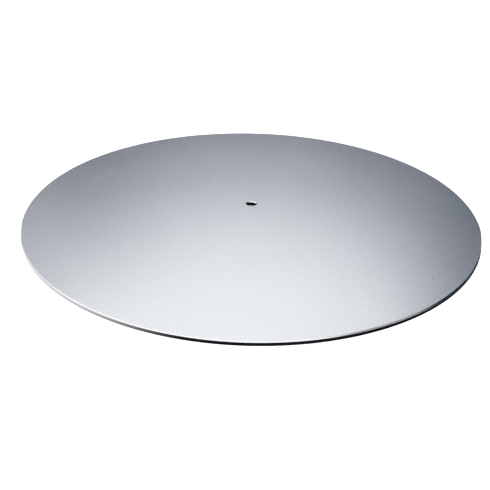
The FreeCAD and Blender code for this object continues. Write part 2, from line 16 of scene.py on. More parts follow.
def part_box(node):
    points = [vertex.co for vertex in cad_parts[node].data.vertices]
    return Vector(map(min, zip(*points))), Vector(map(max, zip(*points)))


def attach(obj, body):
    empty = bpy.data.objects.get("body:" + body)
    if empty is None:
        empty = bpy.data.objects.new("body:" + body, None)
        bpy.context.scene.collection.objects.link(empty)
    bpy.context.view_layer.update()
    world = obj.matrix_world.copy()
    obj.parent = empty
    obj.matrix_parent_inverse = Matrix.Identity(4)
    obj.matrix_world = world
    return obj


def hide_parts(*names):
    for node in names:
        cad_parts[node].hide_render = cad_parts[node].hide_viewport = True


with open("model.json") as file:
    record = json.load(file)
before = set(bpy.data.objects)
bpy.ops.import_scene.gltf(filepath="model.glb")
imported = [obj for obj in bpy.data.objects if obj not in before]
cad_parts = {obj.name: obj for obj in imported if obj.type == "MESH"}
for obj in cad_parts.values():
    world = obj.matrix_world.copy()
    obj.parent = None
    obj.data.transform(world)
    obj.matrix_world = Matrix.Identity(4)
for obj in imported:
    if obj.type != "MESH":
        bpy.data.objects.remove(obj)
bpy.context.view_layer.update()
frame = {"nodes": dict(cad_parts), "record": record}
print("nodes:", len(frame["nodes"]))

# %% [markdown]
# ## Reading sizes
# Blender works in metres, but a maker's drawing of this wheel is in millimetres, so every outline below is
# written in millimetres and scaled once, where it becomes a mesh. Heights and the main radii are read from
# the engineering model instead of being typed again, so a piece can't drift away from its place.

# %% Sizes from the model
MM = 0.001


def heights(node):
    """The lowest and the highest point of a node, in millimetres."""
    low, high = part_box(node)
    return round(low.z / MM, 4), round(high.z / MM, 4)


def reach(node):
    """How far a round node reaches from the axis, in millimetres."""
    return round(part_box(node)[1].x / MM, 3)


def mount(name):
    """A mount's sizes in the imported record, in millimetres."""
    return next(item["dims"] for item in frame["record"]["mounts"] if item["name"] == name)


RIM = reach("wheel_disc")
UNDER_HEAD, TABLE_TOP = heights("wheel_disc")
print(f"wheel head: {RIM * 2:.0f} mm across, {TABLE_TOP - UNDER_HEAD:.1f} mm thick")

# %% [markdown]
# ## The camera
# A small thing seen from close by shows strong perspective: the near edge of the disc looks much
# wider than the far edge. The distance sets that, not the lens, so the distance is fixed first and the
# lens then only sets how large the disc is in the picture. The camera looks down by some 29 degrees.

# %% Place the camera
CAMERA_DISTANCE = 0.4043
CAMERA_HEIGHT_ANGLE = 25.21
CAMERA_DIP = 29.25
CAMERA_PAN = 0.59
CAMERA_ROLL = 1.15
LENS = 43.2


def turned(axis, degrees):
    """A turn about one axis, as a matrix."""
    return Matrix.Rotation(math.radians(degrees), 4, axis)


lens_data = bpy.data.cameras.new("Camera")
lens_data.lens = LENS
lens_data.sensor_width = 36
lens_data.clip_start = 0.01
camera = bpy.data.objects.new("Camera", lens_data)
bpy.context.scene.collection.objects.link(camera)
rise = math.radians(CAMERA_HEIGHT_ANGLE)
seat = Vector((0, -math.cos(rise), math.sin(rise))) * CAMERA_DISTANCE + Vector((0, 0, TABLE_TOP * MM))
aim = turned("Z", CAMERA_PAN) @ turned("X", 90 - CAMERA_DIP) @ turned("Z", CAMERA_ROLL)
camera.matrix_world = Matrix.Translation(seat) @ aim
bpy.context.scene.camera = camera
print("camera at", [round(value, 3) for value in seat])

# %% [markdown]
# ## Floor and light
# Satin metal shows what is round it more than its own colour. One large oval light hangs behind the wheel,
# and the disc mirrors its lower edge: bright near the camera, darker towards the back. A weaker light
# lifts the left side, a faint one lifts the right, and between them the disc mirrors a dark wall. The rim
# stands upright and mirrors the floor in front of it. A studio lays a dark card there, out of sight, so
# that a metal edge stands out from white paper, and this scene does the same with a ring of card that only
# mirror images show. A pale panel low on the left draws the bright line along the bevel on that side.

# %% A pale floor that is clear from below
scene = bpy.context.scene
scene.view_settings.view_transform = "Standard"
FLOOR_SIZE = 6.0
FLOOR_PAPER = (0.9, 0.9, 0.9, 1)
FLOOR_GLOW = 0.9


def new_nodes(material):
    """An empty node tree on a material or a world."""
    material.use_nodes = True
    tree = material.node_tree
    tree.nodes.clear()
    return tree


def node(tree, kind, **settings):
    """Adds a node. Settings name its own properties, such as operation."""
    made = tree.nodes.new(kind)
    for name, value in settings.items():
        setattr(made, name, value)
    return made


def wire(tree, start, end):
    """Joins an output socket to an input socket."""
    tree.links.new(start, end)


def floor_finish():
    """White paper, which glows a little so that it stays white, and lets a camera look up through it."""
    material = bpy.data.materials.new("floor_paper")
    tree = new_nodes(material)
    paper = node(tree, "ShaderNodeBsdfDiffuse")
    paper.inputs["Color"].default_value = FLOOR_PAPER
    glow = node(tree, "ShaderNodeEmission")
    glow.inputs["Strength"].default_value = FLOOR_GLOW
    both = node(tree, "ShaderNodeAddShader")
    clear = node(tree, "ShaderNodeBsdfTransparent")
    side = node(tree, "ShaderNodeNewGeometry")
    pick = node(tree, "ShaderNodeMixShader")
    output = node(tree, "ShaderNodeOutputMaterial")
    wire(tree, paper.outputs[0], both.inputs[0])
    wire(tree, glow.outputs[0], both.inputs[1])
    wire(tree, side.outputs["Backfacing"], pick.inputs[0])
    wire(tree, both.outputs[0], pick.inputs[1])
    wire(tree, clear.outputs[0], pick.inputs[2])
    wire(tree, pick.outputs[0], output.inputs["Surface"])
    return material


def floor():
    """A square of paper under the feet."""
    half = FLOOR_SIZE / 2
    mesh = bpy.data.meshes.new("floor")
    corners = [(-half, -half, 0), (half, -half, 0), (half, half, 0), (-half, half, 0)]
    mesh.from_pydata(corners, [], [(0, 1, 2, 3)])
    mesh.materials.append(floor_finish())
    sheet = bpy.data.objects.new("floor", mesh)
    scene.collection.objects.link(sheet)
    return sheet


floor()
print(f"floor: {FLOOR_SIZE:.0f} m square")

# %% A room with dark and pale walls
BACK_WALL = (0.012, 0.036, 0.076)
FRONT_WALL = (0.42, 0.43, 0.45)
WALL_AXIS, WALL_RANGE = (0, 1, 0), (-0.15, 0.1)
LEFT_PANEL = (1.0, 1.0, 1.0)
LEFT_AXIS, LEFT_RANGE = (-0.94, 0.3, 0.2), (0.9, 0.97)
FRONT_PANEL = (1.25, 1.25, 1.25)
FRONT_AXIS, FRONT_RANGE = (-0.35, -0.4, 0.85), (0.5, 0.72)
BACKDROP = (0.86, 0.86, 0.87)


def mixed(tree, share, first, last):
    """A colour between two. Each of the two is a plain colour or a socket."""
    mix = node(tree, "ShaderNodeMix", data_type="RGBA")
    wire(tree, share, mix.inputs["Factor"])
    for socket, colour in (("A", first), ("B", last)):
        if isinstance(colour, tuple):
            mix.inputs[socket].default_value = (*colour, 1)
        else:
            wire(tree, colour, mix.inputs[socket])
    return mix.outputs["Result"]


def graded(tree, direction, axis, limits, first, last):
    """A colour that changes from first to last as a direction turns towards an axis."""
    towards = node(tree, "ShaderNodeVectorMath", operation="DOT_PRODUCT")
    towards.inputs[1].default_value = axis
    wire(tree, direction, towards.inputs[0])
    share = node(tree, "ShaderNodeMapRange", interpolation_type="SMOOTHSTEP")
    share.inputs["From Min"].default_value, share.inputs["From Max"].default_value = limits
    wire(tree, towards.outputs["Value"], share.inputs["Value"])
    return mixed(tree, share.outputs[0], first, last)


def room():
    """A dark back wall and a paler front with two bright panels, behind a plain pale backdrop."""
    world = bpy.data.worlds.new("room")
    scene.world = world
    tree = new_nodes(world)
    direction = node(tree, "ShaderNodeTexCoord").outputs["Generated"]
    walls = graded(tree, direction, WALL_AXIS, WALL_RANGE, FRONT_WALL, BACK_WALL)
    walls = graded(tree, direction, LEFT_AXIS, LEFT_RANGE, walls, LEFT_PANEL)
    walls = graded(tree, direction, FRONT_AXIS, FRONT_RANGE, walls, FRONT_PANEL)
    straight = node(tree, "ShaderNodeLightPath").outputs["Is Camera Ray"]
    shine = node(tree, "ShaderNodeBackground")
    wire(tree, mixed(tree, straight, walls, BACKDROP), shine.inputs["Color"])
    wire(tree, shine.outputs[0], node(tree, "ShaderNodeOutputWorld").inputs["Surface"])
    return world


print("world:", room().name)

# %% A ring of dark card
CARD_INNER = 0.165
CARD_OUTER = 0.45
CARD_HEIGHT = 0.0005
CARD_STEPS = 96
CARD_DARK = (0.008, 0.008, 0.009)
CARD_PALE = (0.72, 0.72, 0.72)
CARD_AXIS, CARD_RANGE = (-0.9, 0.44, 0), (-0.17, 0.65)


def card_ring():
    """Card on the floor round the wheel, dark in front and on the right, pale on the left."""
    points = []
    for step in range(CARD_STEPS):
        angle = 2 * math.pi * step / CARD_STEPS
        for radius in (CARD_INNER, CARD_OUTER):
            points.append((radius * math.cos(angle), radius * math.sin(angle), CARD_HEIGHT))
    count = len(points)
    faces = [(i, i + 1, (i + 3) % count, (i + 2) % count) for i in range(0, count, 2)]
    mesh = bpy.data.meshes.new("card_ring")
    mesh.from_pydata(points, [], faces)
    material = bpy.data.materials.new("dark_card")
    tree = new_nodes(material)
    where = node(tree, "ShaderNodeTexCoord").outputs["Object"]
    side = node(tree, "ShaderNodeVectorMath", operation="NORMALIZE")
    wire(tree, where, side.inputs[0])
    shade = graded(tree, side.outputs[0], CARD_AXIS, CARD_RANGE, CARD_DARK, CARD_PALE)
    glow = node(tree, "ShaderNodeEmission")
    wire(tree, shade, glow.inputs["Color"])
    wire(tree, glow.outputs[0], node(tree, "ShaderNodeOutputMaterial").inputs["Surface"])
    mesh.materials.append(material)
    ring = bpy.data.objects.new("card_ring", mesh)
    scene.collection.objects.link(ring)
    ring.visible_camera = ring.visible_diffuse = ring.visible_shadow = False


card_ring()
print("card ring:", CARD_INNER, "to", CARD_OUTER, "m")

# %% Three soft lights
WHEEL_TOP = Vector((0, 0, TABLE_TOP * MM))
LIGHT_DISTANCE = 3.0


def soft_light(name, shape, turn, low, high, width, glow):
    """A flat light. The wheel sees it between two heights and as wide as width, all in degrees."""
    middle = math.radians((low + high) / 2)
    towards = turned("Z", turn) @ Vector((0, math.cos(middle), math.sin(middle)))
    data = bpy.data.lights.new(name, "AREA")
    data.shape = shape
    data.size = 2 * LIGHT_DISTANCE * math.tan(math.radians(width / 2))
    data.size_y = 2 * LIGHT_DISTANCE * math.tan(math.radians((high - low) / 2))
    fill = math.pi / 4 if shape == "ELLIPSE" else 1
    data.energy = glow * math.pi * data.size * data.size_y * fill
    lamp = bpy.data.objects.new(name, data)
    scene.collection.objects.link(lamp)
    lamp.location = WHEEL_TOP + towards * LIGHT_DISTANCE
    lamp.rotation_euler = towards.to_track_quat("Z", "Y").to_euler()
    return lamp


soft_light("back_softbox", "ELLIPSE", turn=0, low=25.2, high=57, width=40, glow=1.23)
soft_light("left_softbox", "RECTANGLE", turn=50, low=26.8, high=47, width=48, glow=0.68)
soft_light("right_softbox", "RECTANGLE", turn=-28, low=26, high=50, width=18, glow=0.1)

# %% [markdown]
# ## Drawing an outline
# Every turned piece starts as half of its cross-section: a row of corners, each a distance from the axis
# and a height. No real corner is perfectly sharp, and the small arcs at the corners are what catch the
# light, so a corner may carry a radius as its third number. The arc is tangent to both of its sides.

# %% Outlines with rounded corners
ARC_STEP = 9.0


def arc(before, corner, after, radius):
    """The points of a tangent arc that replaces a corner."""
    to_before = (before - corner).normalized()
    to_after = (after - corner).normalized()
    half = to_before.angle(to_after) / 2
    if radius <= 0 or half > math.radians(89.5):
        return [corner]
    reach_back = radius / math.tan(half)
    centre = corner + (to_before + to_after).normalized() * (radius / math.sin(half))
    first = corner + to_before * reach_back - centre
    turn = math.pi - half * 2
    if first.x * to_after.y - first.y * to_after.x < 0:
        turn = -turn
    steps = max(2, round(abs(math.degrees(turn)) / ARC_STEP))
    return [centre + Matrix.Rotation(turn * step / steps, 2) @ first for step in range(steps + 1)]


def outline(corners, closed=True, longest=None):
    """The points of an outline in millimetres. Long straight runs may be cut into shorter ones."""
    places = [Vector(corner[:2]) for corner in corners]
    radii = [corner[2] if len(corner) > 2 else 0 for corner in corners]
    points = []
    for index, place in enumerate(places):
        at_end = not closed and index in (0, len(places) - 1)
        after = places[(index + 1) % len(places)]
        points += [place] if at_end else arc(places[index - 1], place, after, radii[index])
    if closed:
        points.append(points[0])
    if longest is None:
        return points
    shorter = [points[0]]
    for start, end in zip(points, points[1:]):
        parts = max(1, math.ceil((end - start).length / longest))
        shorter += [start.lerp(end, part / parts) for part in range(1, parts + 1)]
    return shorter


print("a 2 mm round on a square corner:", len(outline([(5, 0), (9, 0, 2), (9, 4), (5, 4)])), "points")

# %% [markdown]
# ## A lathe made of nodes
# A lathe turns the work while the tool follows the outline. The node tree does the same with a flat grid:
# each column of the grid is the outline at one angle. The point's number gives its column and its row, the
# row picks a point of the outline, and sine and cosine carry that point round the axis. Merging what lies
# in the same place then closes the seam and the poles.

# %% The lathe tree
SEAM = 1e-6


def new_tree(title, sockets):
    """An empty geometry tree with named inputs and one geometry output."""
    tree = bpy.data.node_groups.new(title, "GeometryNodeTree")
    tree.interface.new_socket(name="Geometry", in_out="INPUT", socket_type="NodeSocketGeometry")
    for name, kind in sockets:
        tree.interface.new_socket(name=name, in_out="INPUT", socket_type=f"NodeSocket{kind}")
    tree.interface.new_socket(name="Geometry", in_out="OUTPUT", socket_type="NodeSocketGeometry")
    return tree


def reckon(tree, operation, *values):
    """One sum on numbers or sockets, as a Math node's output."""
    made = node(tree, "ShaderNodeMath", operation=operation)
    for socket, value in zip(made.inputs, values):
        if isinstance(value, (int, float)):
            socket.default_value = value
        else:
            wire(tree, value, socket)
    return made.outputs[0]


def end_tree(tree, geometry, finish):
    """Realizes the instances, gives them the finish and sends them out."""
    real = node(tree, "GeometryNodeRealizeInstances")
    coat = node(tree, "GeometryNodeSetMaterial")
    output = node(tree, "NodeGroupOutput")
    wire(tree, geometry, real.inputs["Geometry"])
    wire(tree, real.outputs["Geometry"], coat.inputs["Geometry"])
    wire(tree, finish, coat.inputs["Material"])
    wire(tree, coat.outputs["Geometry"], output.inputs[0])


def lathe_tree():
    """Turns an outline, given as a chain of points, once round the Z axis."""
    tree = new_tree("Lathe", [("Sides", "Int"), ("Finish", "Material")])
    given = node(tree, "NodeGroupInput")
    count = node(tree, "GeometryNodeAttributeDomainSize").outputs["Point Count"]
    wire(tree, given.outputs["Geometry"], count.node.inputs["Geometry"])
    grid = node(tree, "GeometryNodeMeshGrid")
    wire(tree, reckon(tree, "ADD", given.outputs["Sides"], 1), grid.inputs["Vertices X"])
    wire(tree, count, grid.inputs["Vertices Y"])
    number = node(tree, "GeometryNodeInputIndex").outputs[0]
    column = reckon(tree, "FLOOR", reckon(tree, "DIVIDE", reckon(tree, "ADD", number, 0.5), count))
    row = reckon(tree, "SUBTRACT", number, reckon(tree, "MULTIPLY", column, count))
    drawn = node(tree, "GeometryNodeSampleIndex", data_type="FLOAT_VECTOR", domain="POINT")
    wire(tree, given.outputs["Geometry"], drawn.inputs["Geometry"])
    wire(tree, node(tree, "GeometryNodeInputPosition").outputs[0], drawn.inputs["Value"])
    wire(tree, row, drawn.inputs["Index"])
    point = node(tree, "ShaderNodeSeparateXYZ")
    wire(tree, drawn.outputs[0], point.inputs[0])
    whole_turn = reckon(tree, "MULTIPLY", column, math.tau)
    angle = reckon(tree, "DIVIDE", whole_turn, given.outputs["Sides"])
    place = node(tree, "ShaderNodeCombineXYZ")
    for axis, wave in (("X", "COSINE"), ("Y", "SINE")):
        side = reckon(tree, "MULTIPLY", point.outputs["X"], reckon(tree, wave, angle))
        wire(tree, side, place.inputs[axis])
    wire(tree, point.outputs["Z"], place.inputs["Z"])
    bend = node(tree, "GeometryNodeSetPosition")
    wire(tree, grid.outputs["Mesh"], bend.inputs["Geometry"])
    wire(tree, place.outputs[0], bend.inputs["Position"])
    close = node(tree, "GeometryNodeMergeByDistance")
    close.inputs["Distance"].default_value = SEAM
    wire(tree, bend.outputs["Geometry"], close.inputs["Geometry"])
    end_tree(tree, close.outputs["Geometry"], given.outputs["Finish"])
    return tree


LATHE = lathe_tree()
print("lathe tree:", len(LATHE.nodes), "nodes")

# %% [markdown]
# ## Copies round the axis
# Studs, nuts, screws, feet and balls all stand in a ring. One is made where it stands at angle zero, and
# this tree sets the copies at equal steps. The mesh already holds the distance from the axis, so a copy
# only needs to be turned, and the tree asks for no radius.

# %% The ring tree


def ring_tree():
    """Turned copies of a piece at equal steps round the Z axis."""
    tree = new_tree("Ring", [("Count", "Int"), ("First angle", "Float"), ("Finish", "Material")])
    given = node(tree, "NodeGroupInput")
    spots = node(tree, "GeometryNodeMeshLine")
    wire(tree, given.outputs["Count"], spots.inputs["Count"])
    spots.inputs["Offset"].default_value = (0, 0, 0)
    number = node(tree, "GeometryNodeInputIndex").outputs[0]
    step = reckon(tree, "DIVIDE", reckon(tree, "MULTIPLY", number, math.tau), given.outputs["Count"])
    angle = reckon(tree, "ADD", step, given.outputs["First angle"])
    turn = node(tree, "ShaderNodeCombineXYZ")
    wire(tree, angle, turn.inputs["Z"])
    copies = node(tree, "GeometryNodeInstanceOnPoints")
    wire(tree, spots.outputs["Mesh"], copies.inputs["Points"])
    wire(tree, given.outputs["Geometry"], copies.inputs["Instance"])
    wire(tree, turn.outputs[0], copies.inputs["Rotation"])
    end_tree(tree, copies.outputs["Instances"], given.outputs["Finish"])
    return tree


RING = ring_tree()
print("ring tree:", len(RING.nodes), "nodes")

# %% [markdown]
# ## From nodes to a finished piece
# A modifier is a recipe that runs again whenever the piece changes. The finished pieces here are plain
# meshes, so each recipe is run once, its result is kept and the modifier is taken off. A closed shape
# whose volume comes out negative is inside out, and is flipped so that its faces point outwards.

# %% Running a recipe once
SHARP = 28


def keep_result(piece):
    """Replaces a piece's mesh with what its modifiers make of it, and takes them off."""
    graph = bpy.context.evaluated_depsgraph_get()
    mesh = bpy.data.meshes.new_from_object(piece.evaluated_get(graph))
    piece.modifiers.clear()
    piece.data = mesh
    return piece


def grow(piece, tree, settings):
    """Runs a geometry tree on a piece. Settings are by the names of the tree's inputs."""
    recipe = piece.modifiers.new(tree.name, "NODES")
    recipe.node_group = tree
    for item in tree.interface.items_tree:
        if item.name in settings:
            recipe[item.identifier] = settings[item.name]
    return keep_result(piece)


def tidy(piece):
    """Merges doubles, points the faces outwards and smooths all but the sharp edges."""
    work = bmesh.new()
    work.from_mesh(piece.data)
    bmesh.ops.remove_doubles(work, verts=work.verts, dist=SEAM)
    bmesh.ops.dissolve_degenerate(work, edges=work.edges, dist=SEAM / 2)
    if work.calc_volume(signed=True) < 0:
        bmesh.ops.reverse_faces(work, faces=work.faces)
    for face in work.faces:
        face.smooth = True
    work.to_mesh(piece.data)
    work.free()
    piece.data.set_sharp_from_angle(angle=math.radians(SHARP))
    return piece


print("edges sharper than", SHARP, "degrees stay sharp")

# %% Making, moving and repeating a piece


def new_piece(name, points, edges=(), faces=()):
    """A mesh object in the scene, from points in millimetres."""
    mesh = bpy.data.meshes.new(name)
    mesh.from_pydata([Vector(point) * MM for point in points], edges, faces)
    piece = bpy.data.objects.new(name, mesh)
    scene.collection.objects.link(piece)
    return piece


def lathe(name, corners, finish, sides=192, closed=True, longest=None):
    """A turned piece. Its outline is closed, or it starts and ends on the axis."""
    points = outline(corners, closed, longest)
    chain = [(index, index + 1) for index in range(len(points) - 1)]
    piece = new_piece(name, [(point.x, 0, point.y) for point in points], chain)
    return tidy(grow(piece, LATHE, {"Sides": sides, "Finish": finish}))


def move(piece, x=0, y=0, z=0):
    """Shifts a piece's mesh by millimetres, and leaves its object at the origin."""
    piece.data.transform(Matrix.Translation(Vector((x, y, z)) * MM))
    return piece


def spin(piece, axis, degrees):
    """Turns a piece's mesh about one axis, and leaves its object unturned."""
    piece.data.transform(turned(axis, degrees))
    return piece


def ring_of(piece, count, first_angle, finish):
    """Repeats a piece round the axis."""
    settings = {"Count": count, "First angle": math.radians(first_angle), "Finish": finish}
    return tidy(grow(piece, RING, settings))


def combine(piece, tool, operation="DIFFERENCE"):
    """Cuts a tool out of a piece, or welds it on, and removes the tool."""
    recipe = piece.modifiers.new("Combine", "BOOLEAN")
    recipe.operation = operation
    recipe.solver = "EXACT"
    recipe.object = tool
    keep_result(piece)
    bpy.data.objects.remove(tool)
    return tidy(piece)


print("pieces can be turned, moved, spun, ringed and combined")

# %% Handing a piece over
DONE = []


def flatten_shading(piece):
    """Lets large faces set the direction of shared normals, so that flat faces look flat to their edges."""
    weigh = piece.modifiers.new("Weigh", "WEIGHTED_NORMAL")
    weigh.mode = "FACE_AREA"
    weigh.weight = 100
    weigh.keep_sharp = True
    return keep_result(piece)


def stand_for(piece, body, slot, *nodes):
    """Puts a finished piece on its body in the place of its model nodes."""
    flatten_shading(piece)
    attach(piece, body)
    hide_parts(*nodes)
    DONE.append(piece)
    faces = sum(len(face.vertices) - 2 for face in piece.data.polygons)
    print(f"{piece.name}: {faces} triangles on {body}")


print("pieces handed over so far:", len(DONE))

# %% [markdown]
# ## A thread made of rows
# A screw thread is a ridge that climbs one pitch in each turn. Its mesh is a lathe whose rows climb too:
# a row starts at angle zero and ends a pitch higher, exactly where another row started, so the seam still
# closes. Four rows for each pitch draw the ridge's flat crest, its flat root and its two flanks. At both
# ends the rows are held between the end faces, and the ridge shrinks there into a lead-in bevel.

# %% Threads
THREAD_SIDES = 36
CREST = 0.14
ROOT = 0.61


def thread_rows(radius, pitch, low, high, lead):
    """The rows of a thread: functions of the angle, as a share of a turn, that give radius and height."""
    depth = pitch * ROOT
    shape = ((0.0, 0), (CREST, 0), (0.5, depth), (0.5 + CREST, depth))
    rows = []
    for turn in range(-1, math.ceil((high - low) / pitch) + 1):
        for share, cut in shape:
            rows.append((low + (turn + share) * pitch, cut))

    def place(row, share):
        start, cut = row
        height = min(high, max(low, start + share * pitch))
        to_end = min(height - low, high - height)
        return min(radius - cut, radius - depth - lead + to_end), height

    return rows, place


def threaded(name, before, thread, after, finish, sides=THREAD_SIDES):
    """A turned piece with a thread. Before and after are plain outlines below and above the thread."""
    rows, place = thread_rows(*thread)
    columns = []
    for column in range(sides + 1):
        share = column / sides
        drawn = [tuple(corner) for corner in before]
        drawn += [place(row, share) for row in rows]
        drawn += [tuple(corner) for corner in after]
        angle = share * math.tau
        columns.append([(r * math.cos(angle), r * math.sin(angle), z) for r, z in drawn])
    tall = len(columns[0])
    points = [point for column in columns for point in column]
    faces = []
    for column in range(sides):
        here, there = column * tall, (column + 1) * tall
        faces += [(here + row, there + row, there + row + 1, here + row + 1) for row in range(tall - 1)]
    piece = new_piece(name, points, faces=faces)
    piece.data.materials.append(finish)
    return tidy(piece)


print(f"a thread of 1 mm pitch is {ROOT} mm deep")

# %% Hexagons


def hexagon(name, flats, low, high, finish, point):
    """A hexagonal cutter for a socket. Its far end stands out by point, as a shallow cone."""
    corner = flats / math.sqrt(3)
    rims = [(corner, low), (corner, high)]
    points = []
    for radius, height in rims:
        for side in range(6):
            angle = math.radians(side * 60)
            points.append((radius * math.cos(angle), radius * math.sin(angle), height))
    walls = [(side, (side + 1) % 6, (side + 1) % 6 + 6, side + 6) for side in range(6)]
    points.append((0, 0, high + point))
    tip = [(side + 6, (side + 1) % 6 + 6, 12) for side in range(6)]
    piece = new_piece(name, points, faces=[tuple(reversed(range(6))), *walls, *tip])
    piece.data.materials.append(finish)
    return piece


print(f"a hexagon 7 mm across its flats is {7 / math.cos(math.pi / 6):.2f} mm across its corners")

# %% [markdown]
# ## Finishes
# A finish is one Principled shader whose roughness, colour and bump come from small patterns. The patterns
# read Object coordinates, which for these pieces are metres from the wheel's own centre, so a scale of
# 1000 gives grains of about a millimetre and every piece carries the same size of grain. A number that is
# the same all over a surface is set on the shader's own socket.

# %% Building blocks of a finish


def new_finish(name, colour, metallic, roughness):
    """A material with one shader. Returns the material, its tree, its shader and its Object coordinates."""
    material = bpy.data.materials.new(name)
    tree = new_nodes(material)
    shader = node(tree, "ShaderNodeBsdfPrincipled")
    shader.inputs["Base Color"].default_value = (*colour, 1)
    shader.inputs["Metallic"].default_value = metallic
    shader.inputs["Roughness"].default_value = roughness
    wire(tree, shader.outputs[0], node(tree, "ShaderNodeOutputMaterial").inputs["Surface"])
    where = node(tree, "ShaderNodeTexCoord").outputs["Object"]
    return material, tree, shader, where


def grain(tree, where, scale, detail=2.0):
    """Soft noise between 0 and 1 with that many grains to the metre."""
    noise = node(tree, "ShaderNodeTexNoise")
    noise.inputs["Scale"].default_value = scale
    noise.inputs["Detail"].default_value = detail
    wire(tree, where, noise.inputs["Vector"])
    return noise.outputs["Fac"]


def between(tree, value, low, high, start=0.0, end=1.0):
    """Carries a value that runs from start to end onto the range from low to high."""
    stretch = node(tree, "ShaderNodeMapRange")
    for name, number in (("From Min", start), ("From Max", end), ("To Min", low), ("To Max", high)):
        stretch.inputs[name].default_value = number
    wire(tree, value, stretch.inputs["Value"])
    return stretch.outputs[0]


def relief(tree, shader, height, depth):
    """Raises the surface by up to depth millimetres where height is 1. Adds to any relief before it."""
    bump = node(tree, "ShaderNodeBump")
    bump.inputs["Distance"].default_value = depth * MM
    wire(tree, height, bump.inputs["Height"])
    socket = shader.inputs["Normal"]
    if socket.links:
        wire(tree, socket.links[0].from_socket, bump.inputs["Normal"])
    wire(tree, bump.outputs[0], socket)


def radius_and_height(tree, where):
    """The distance from the axis and the height of each point, in millimetres."""
    parts = node(tree, "ShaderNodeSeparateXYZ")
    wire(tree, where, parts.inputs[0])
    squares = [reckon(tree, "MULTIPLY", parts.outputs[axis], parts.outputs[axis]) for axis in "XY"]
    radius = reckon(tree, "SQRT", reckon(tree, "ADD", *squares))
    return reckon(tree, "MULTIPLY", radius, 1 / MM), reckon(tree, "MULTIPLY", parts.outputs["Z"], 1 / MM)


def lathe_lines(tree, where, lines):
    """Fine lines round the axis, as a turning tool leaves them, with that many to the millimetre."""
    radius, height = radius_and_height(tree, where)
    place = node(tree, "ShaderNodeCombineXYZ")
    wire(tree, radius, place.inputs["X"])
    wire(tree, height, place.inputs["Y"])
    return grain(tree, place.outputs[0], lines, 3.0)


print("grain, ranges, relief and lathe lines are ready")

# %% [markdown]
# ## Satin aluminium
# The head is sheet aluminium, blasted with fine glass beads and anodised. The beads leave countless tiny
# dimples, so a lamp becomes a broad soft glow with a faint sparkle in it and no brushed lines. The bevels
# at the rim and the hole are turned afterwards, and stay bright and smooth. The wall of the hole is
# coloured almost black as painted shade. One material holds all of it, because the distance from the axis
# tells which is which.

# %% The wheel head's finish
BEAD_GRAINS = 1500
BEAD_DIMPLE = 0.032
SATIN_ROUGH = 0.302
SATIN_SPREAD = 0.043
TURNED_POLISH = 0.24
RIM_BEVEL = 0.5
HOLE_BEVEL = 0.5
# Painted shade: an almost black colour for the wall of the centring hole, in place of the shade inside it.
BORE_PAINTED_SHADE = (0.05, 0.05, 0.052)
HOLE = mount("centring_hole")["r_mm"]


def satin_aluminium():
    """Bead-blasted and anodised sheet with bright turned bevels and painted shade on the wall of the hole.
    """
    material, tree, shader, where = new_finish("blasted_sheet", (0.8, 0.81, 0.83), 1.0, 0.4)
    radius, height = radius_and_height(tree, where)
    top = reckon(tree, "GREATER_THAN", height, TABLE_TOP - HOLE_BEVEL - 0.02)
    at_hole = reckon(tree, "MULTIPLY", reckon(tree, "LESS_THAN", radius, HOLE + HOLE_BEVEL + 0.06), top)
    at_rim = reckon(tree, "GREATER_THAN", radius, RIM - RIM_BEVEL - 0.05)
    bright = reckon(tree, "MAXIMUM", at_hole, at_rim)
    satin = reckon(tree, "SUBTRACT", 1.0, bright)
    beads = grain(tree, where, BEAD_GRAINS, 3.0)
    cloud = grain(tree, where, 18, 2.0)
    spread = between(tree, beads, SATIN_ROUGH - SATIN_SPREAD, SATIN_ROUGH + SATIN_SPREAD, 0.3, 0.7)
    rough = reckon(tree, "ADD", spread, between(tree, cloud, -0.015, 0.015))
    polish = reckon(tree, "MULTIPLY", bright, TURNED_POLISH)
    wire(tree, reckon(tree, "SUBTRACT", rough, polish), shader.inputs["Roughness"])
    shade = between(tree, beads, 0.25, 0.75, 0.35, 0.65)
    clean = mixed(tree, shade, (0.752, 0.756, 0.768), (0.834, 0.837, 0.847))
    # Painted shade: the wall of the centring hole is coloured almost black, in place of the shade inside
    # the hole.
    painted_shade_in_bore = reckon(tree, "LESS_THAN", radius, HOLE + 0.03)
    wire(tree, mixed(tree, painted_shade_in_bore, clean, BORE_PAINTED_SHADE), shader.inputs["Base Color"])
    relief(tree, shader, reckon(tree, "MULTIPLY", beads, satin), BEAD_DIMPLE)
    lines = reckon(tree, "MULTIPLY", lathe_lines(tree, where, 9), at_rim)
    relief(tree, shader, lines, 0.006)
    return material


SATIN = satin_aluminium()
print("finish:", SATIN.name)

# %% [markdown]
# ## Cast, turned, plated and moulded finishes
# The pieces under the head each show how they were made. Sand leaves the cast hub dull and pebbled, a
# grinding wheel leaves the shaft and the bearing rings with fine lines round them, plating gives screws a
# cool sheen, and a mould gives rubber and plastic their even skin. The base is iron under hammered enamel,
# a paint that dries into shallow dimples a few millimetres across and hides the roughness of the casting.

# %% Metals


def cast_aluminium():
    """Sand-cast aluminium: dull, pebbled, a little darker in its hollows."""
    material, tree, shader, where = new_finish("sand_cast", (0.55, 0.56, 0.57), 1.0, 0.5)
    sand = grain(tree, where, 900, 5.0)
    waves = grain(tree, where, 140, 3.0)
    wire(tree, between(tree, sand, 0.46, 0.66, 0.3, 0.7), shader.inputs["Roughness"])
    both = reckon(tree, "ADD", reckon(tree, "MULTIPLY", sand, 0.7), reckon(tree, "MULTIPLY", waves, 0.3))
    shade = between(tree, both, 0.0, 1.0, 0.35, 0.65)
    wire(tree, mixed(tree, shade, (0.40, 0.41, 0.42), (0.64, 0.65, 0.66)), shader.inputs["Base Color"])
    relief(tree, shader, waves, 0.25)
    relief(tree, shader, sand, 0.12)
    return material


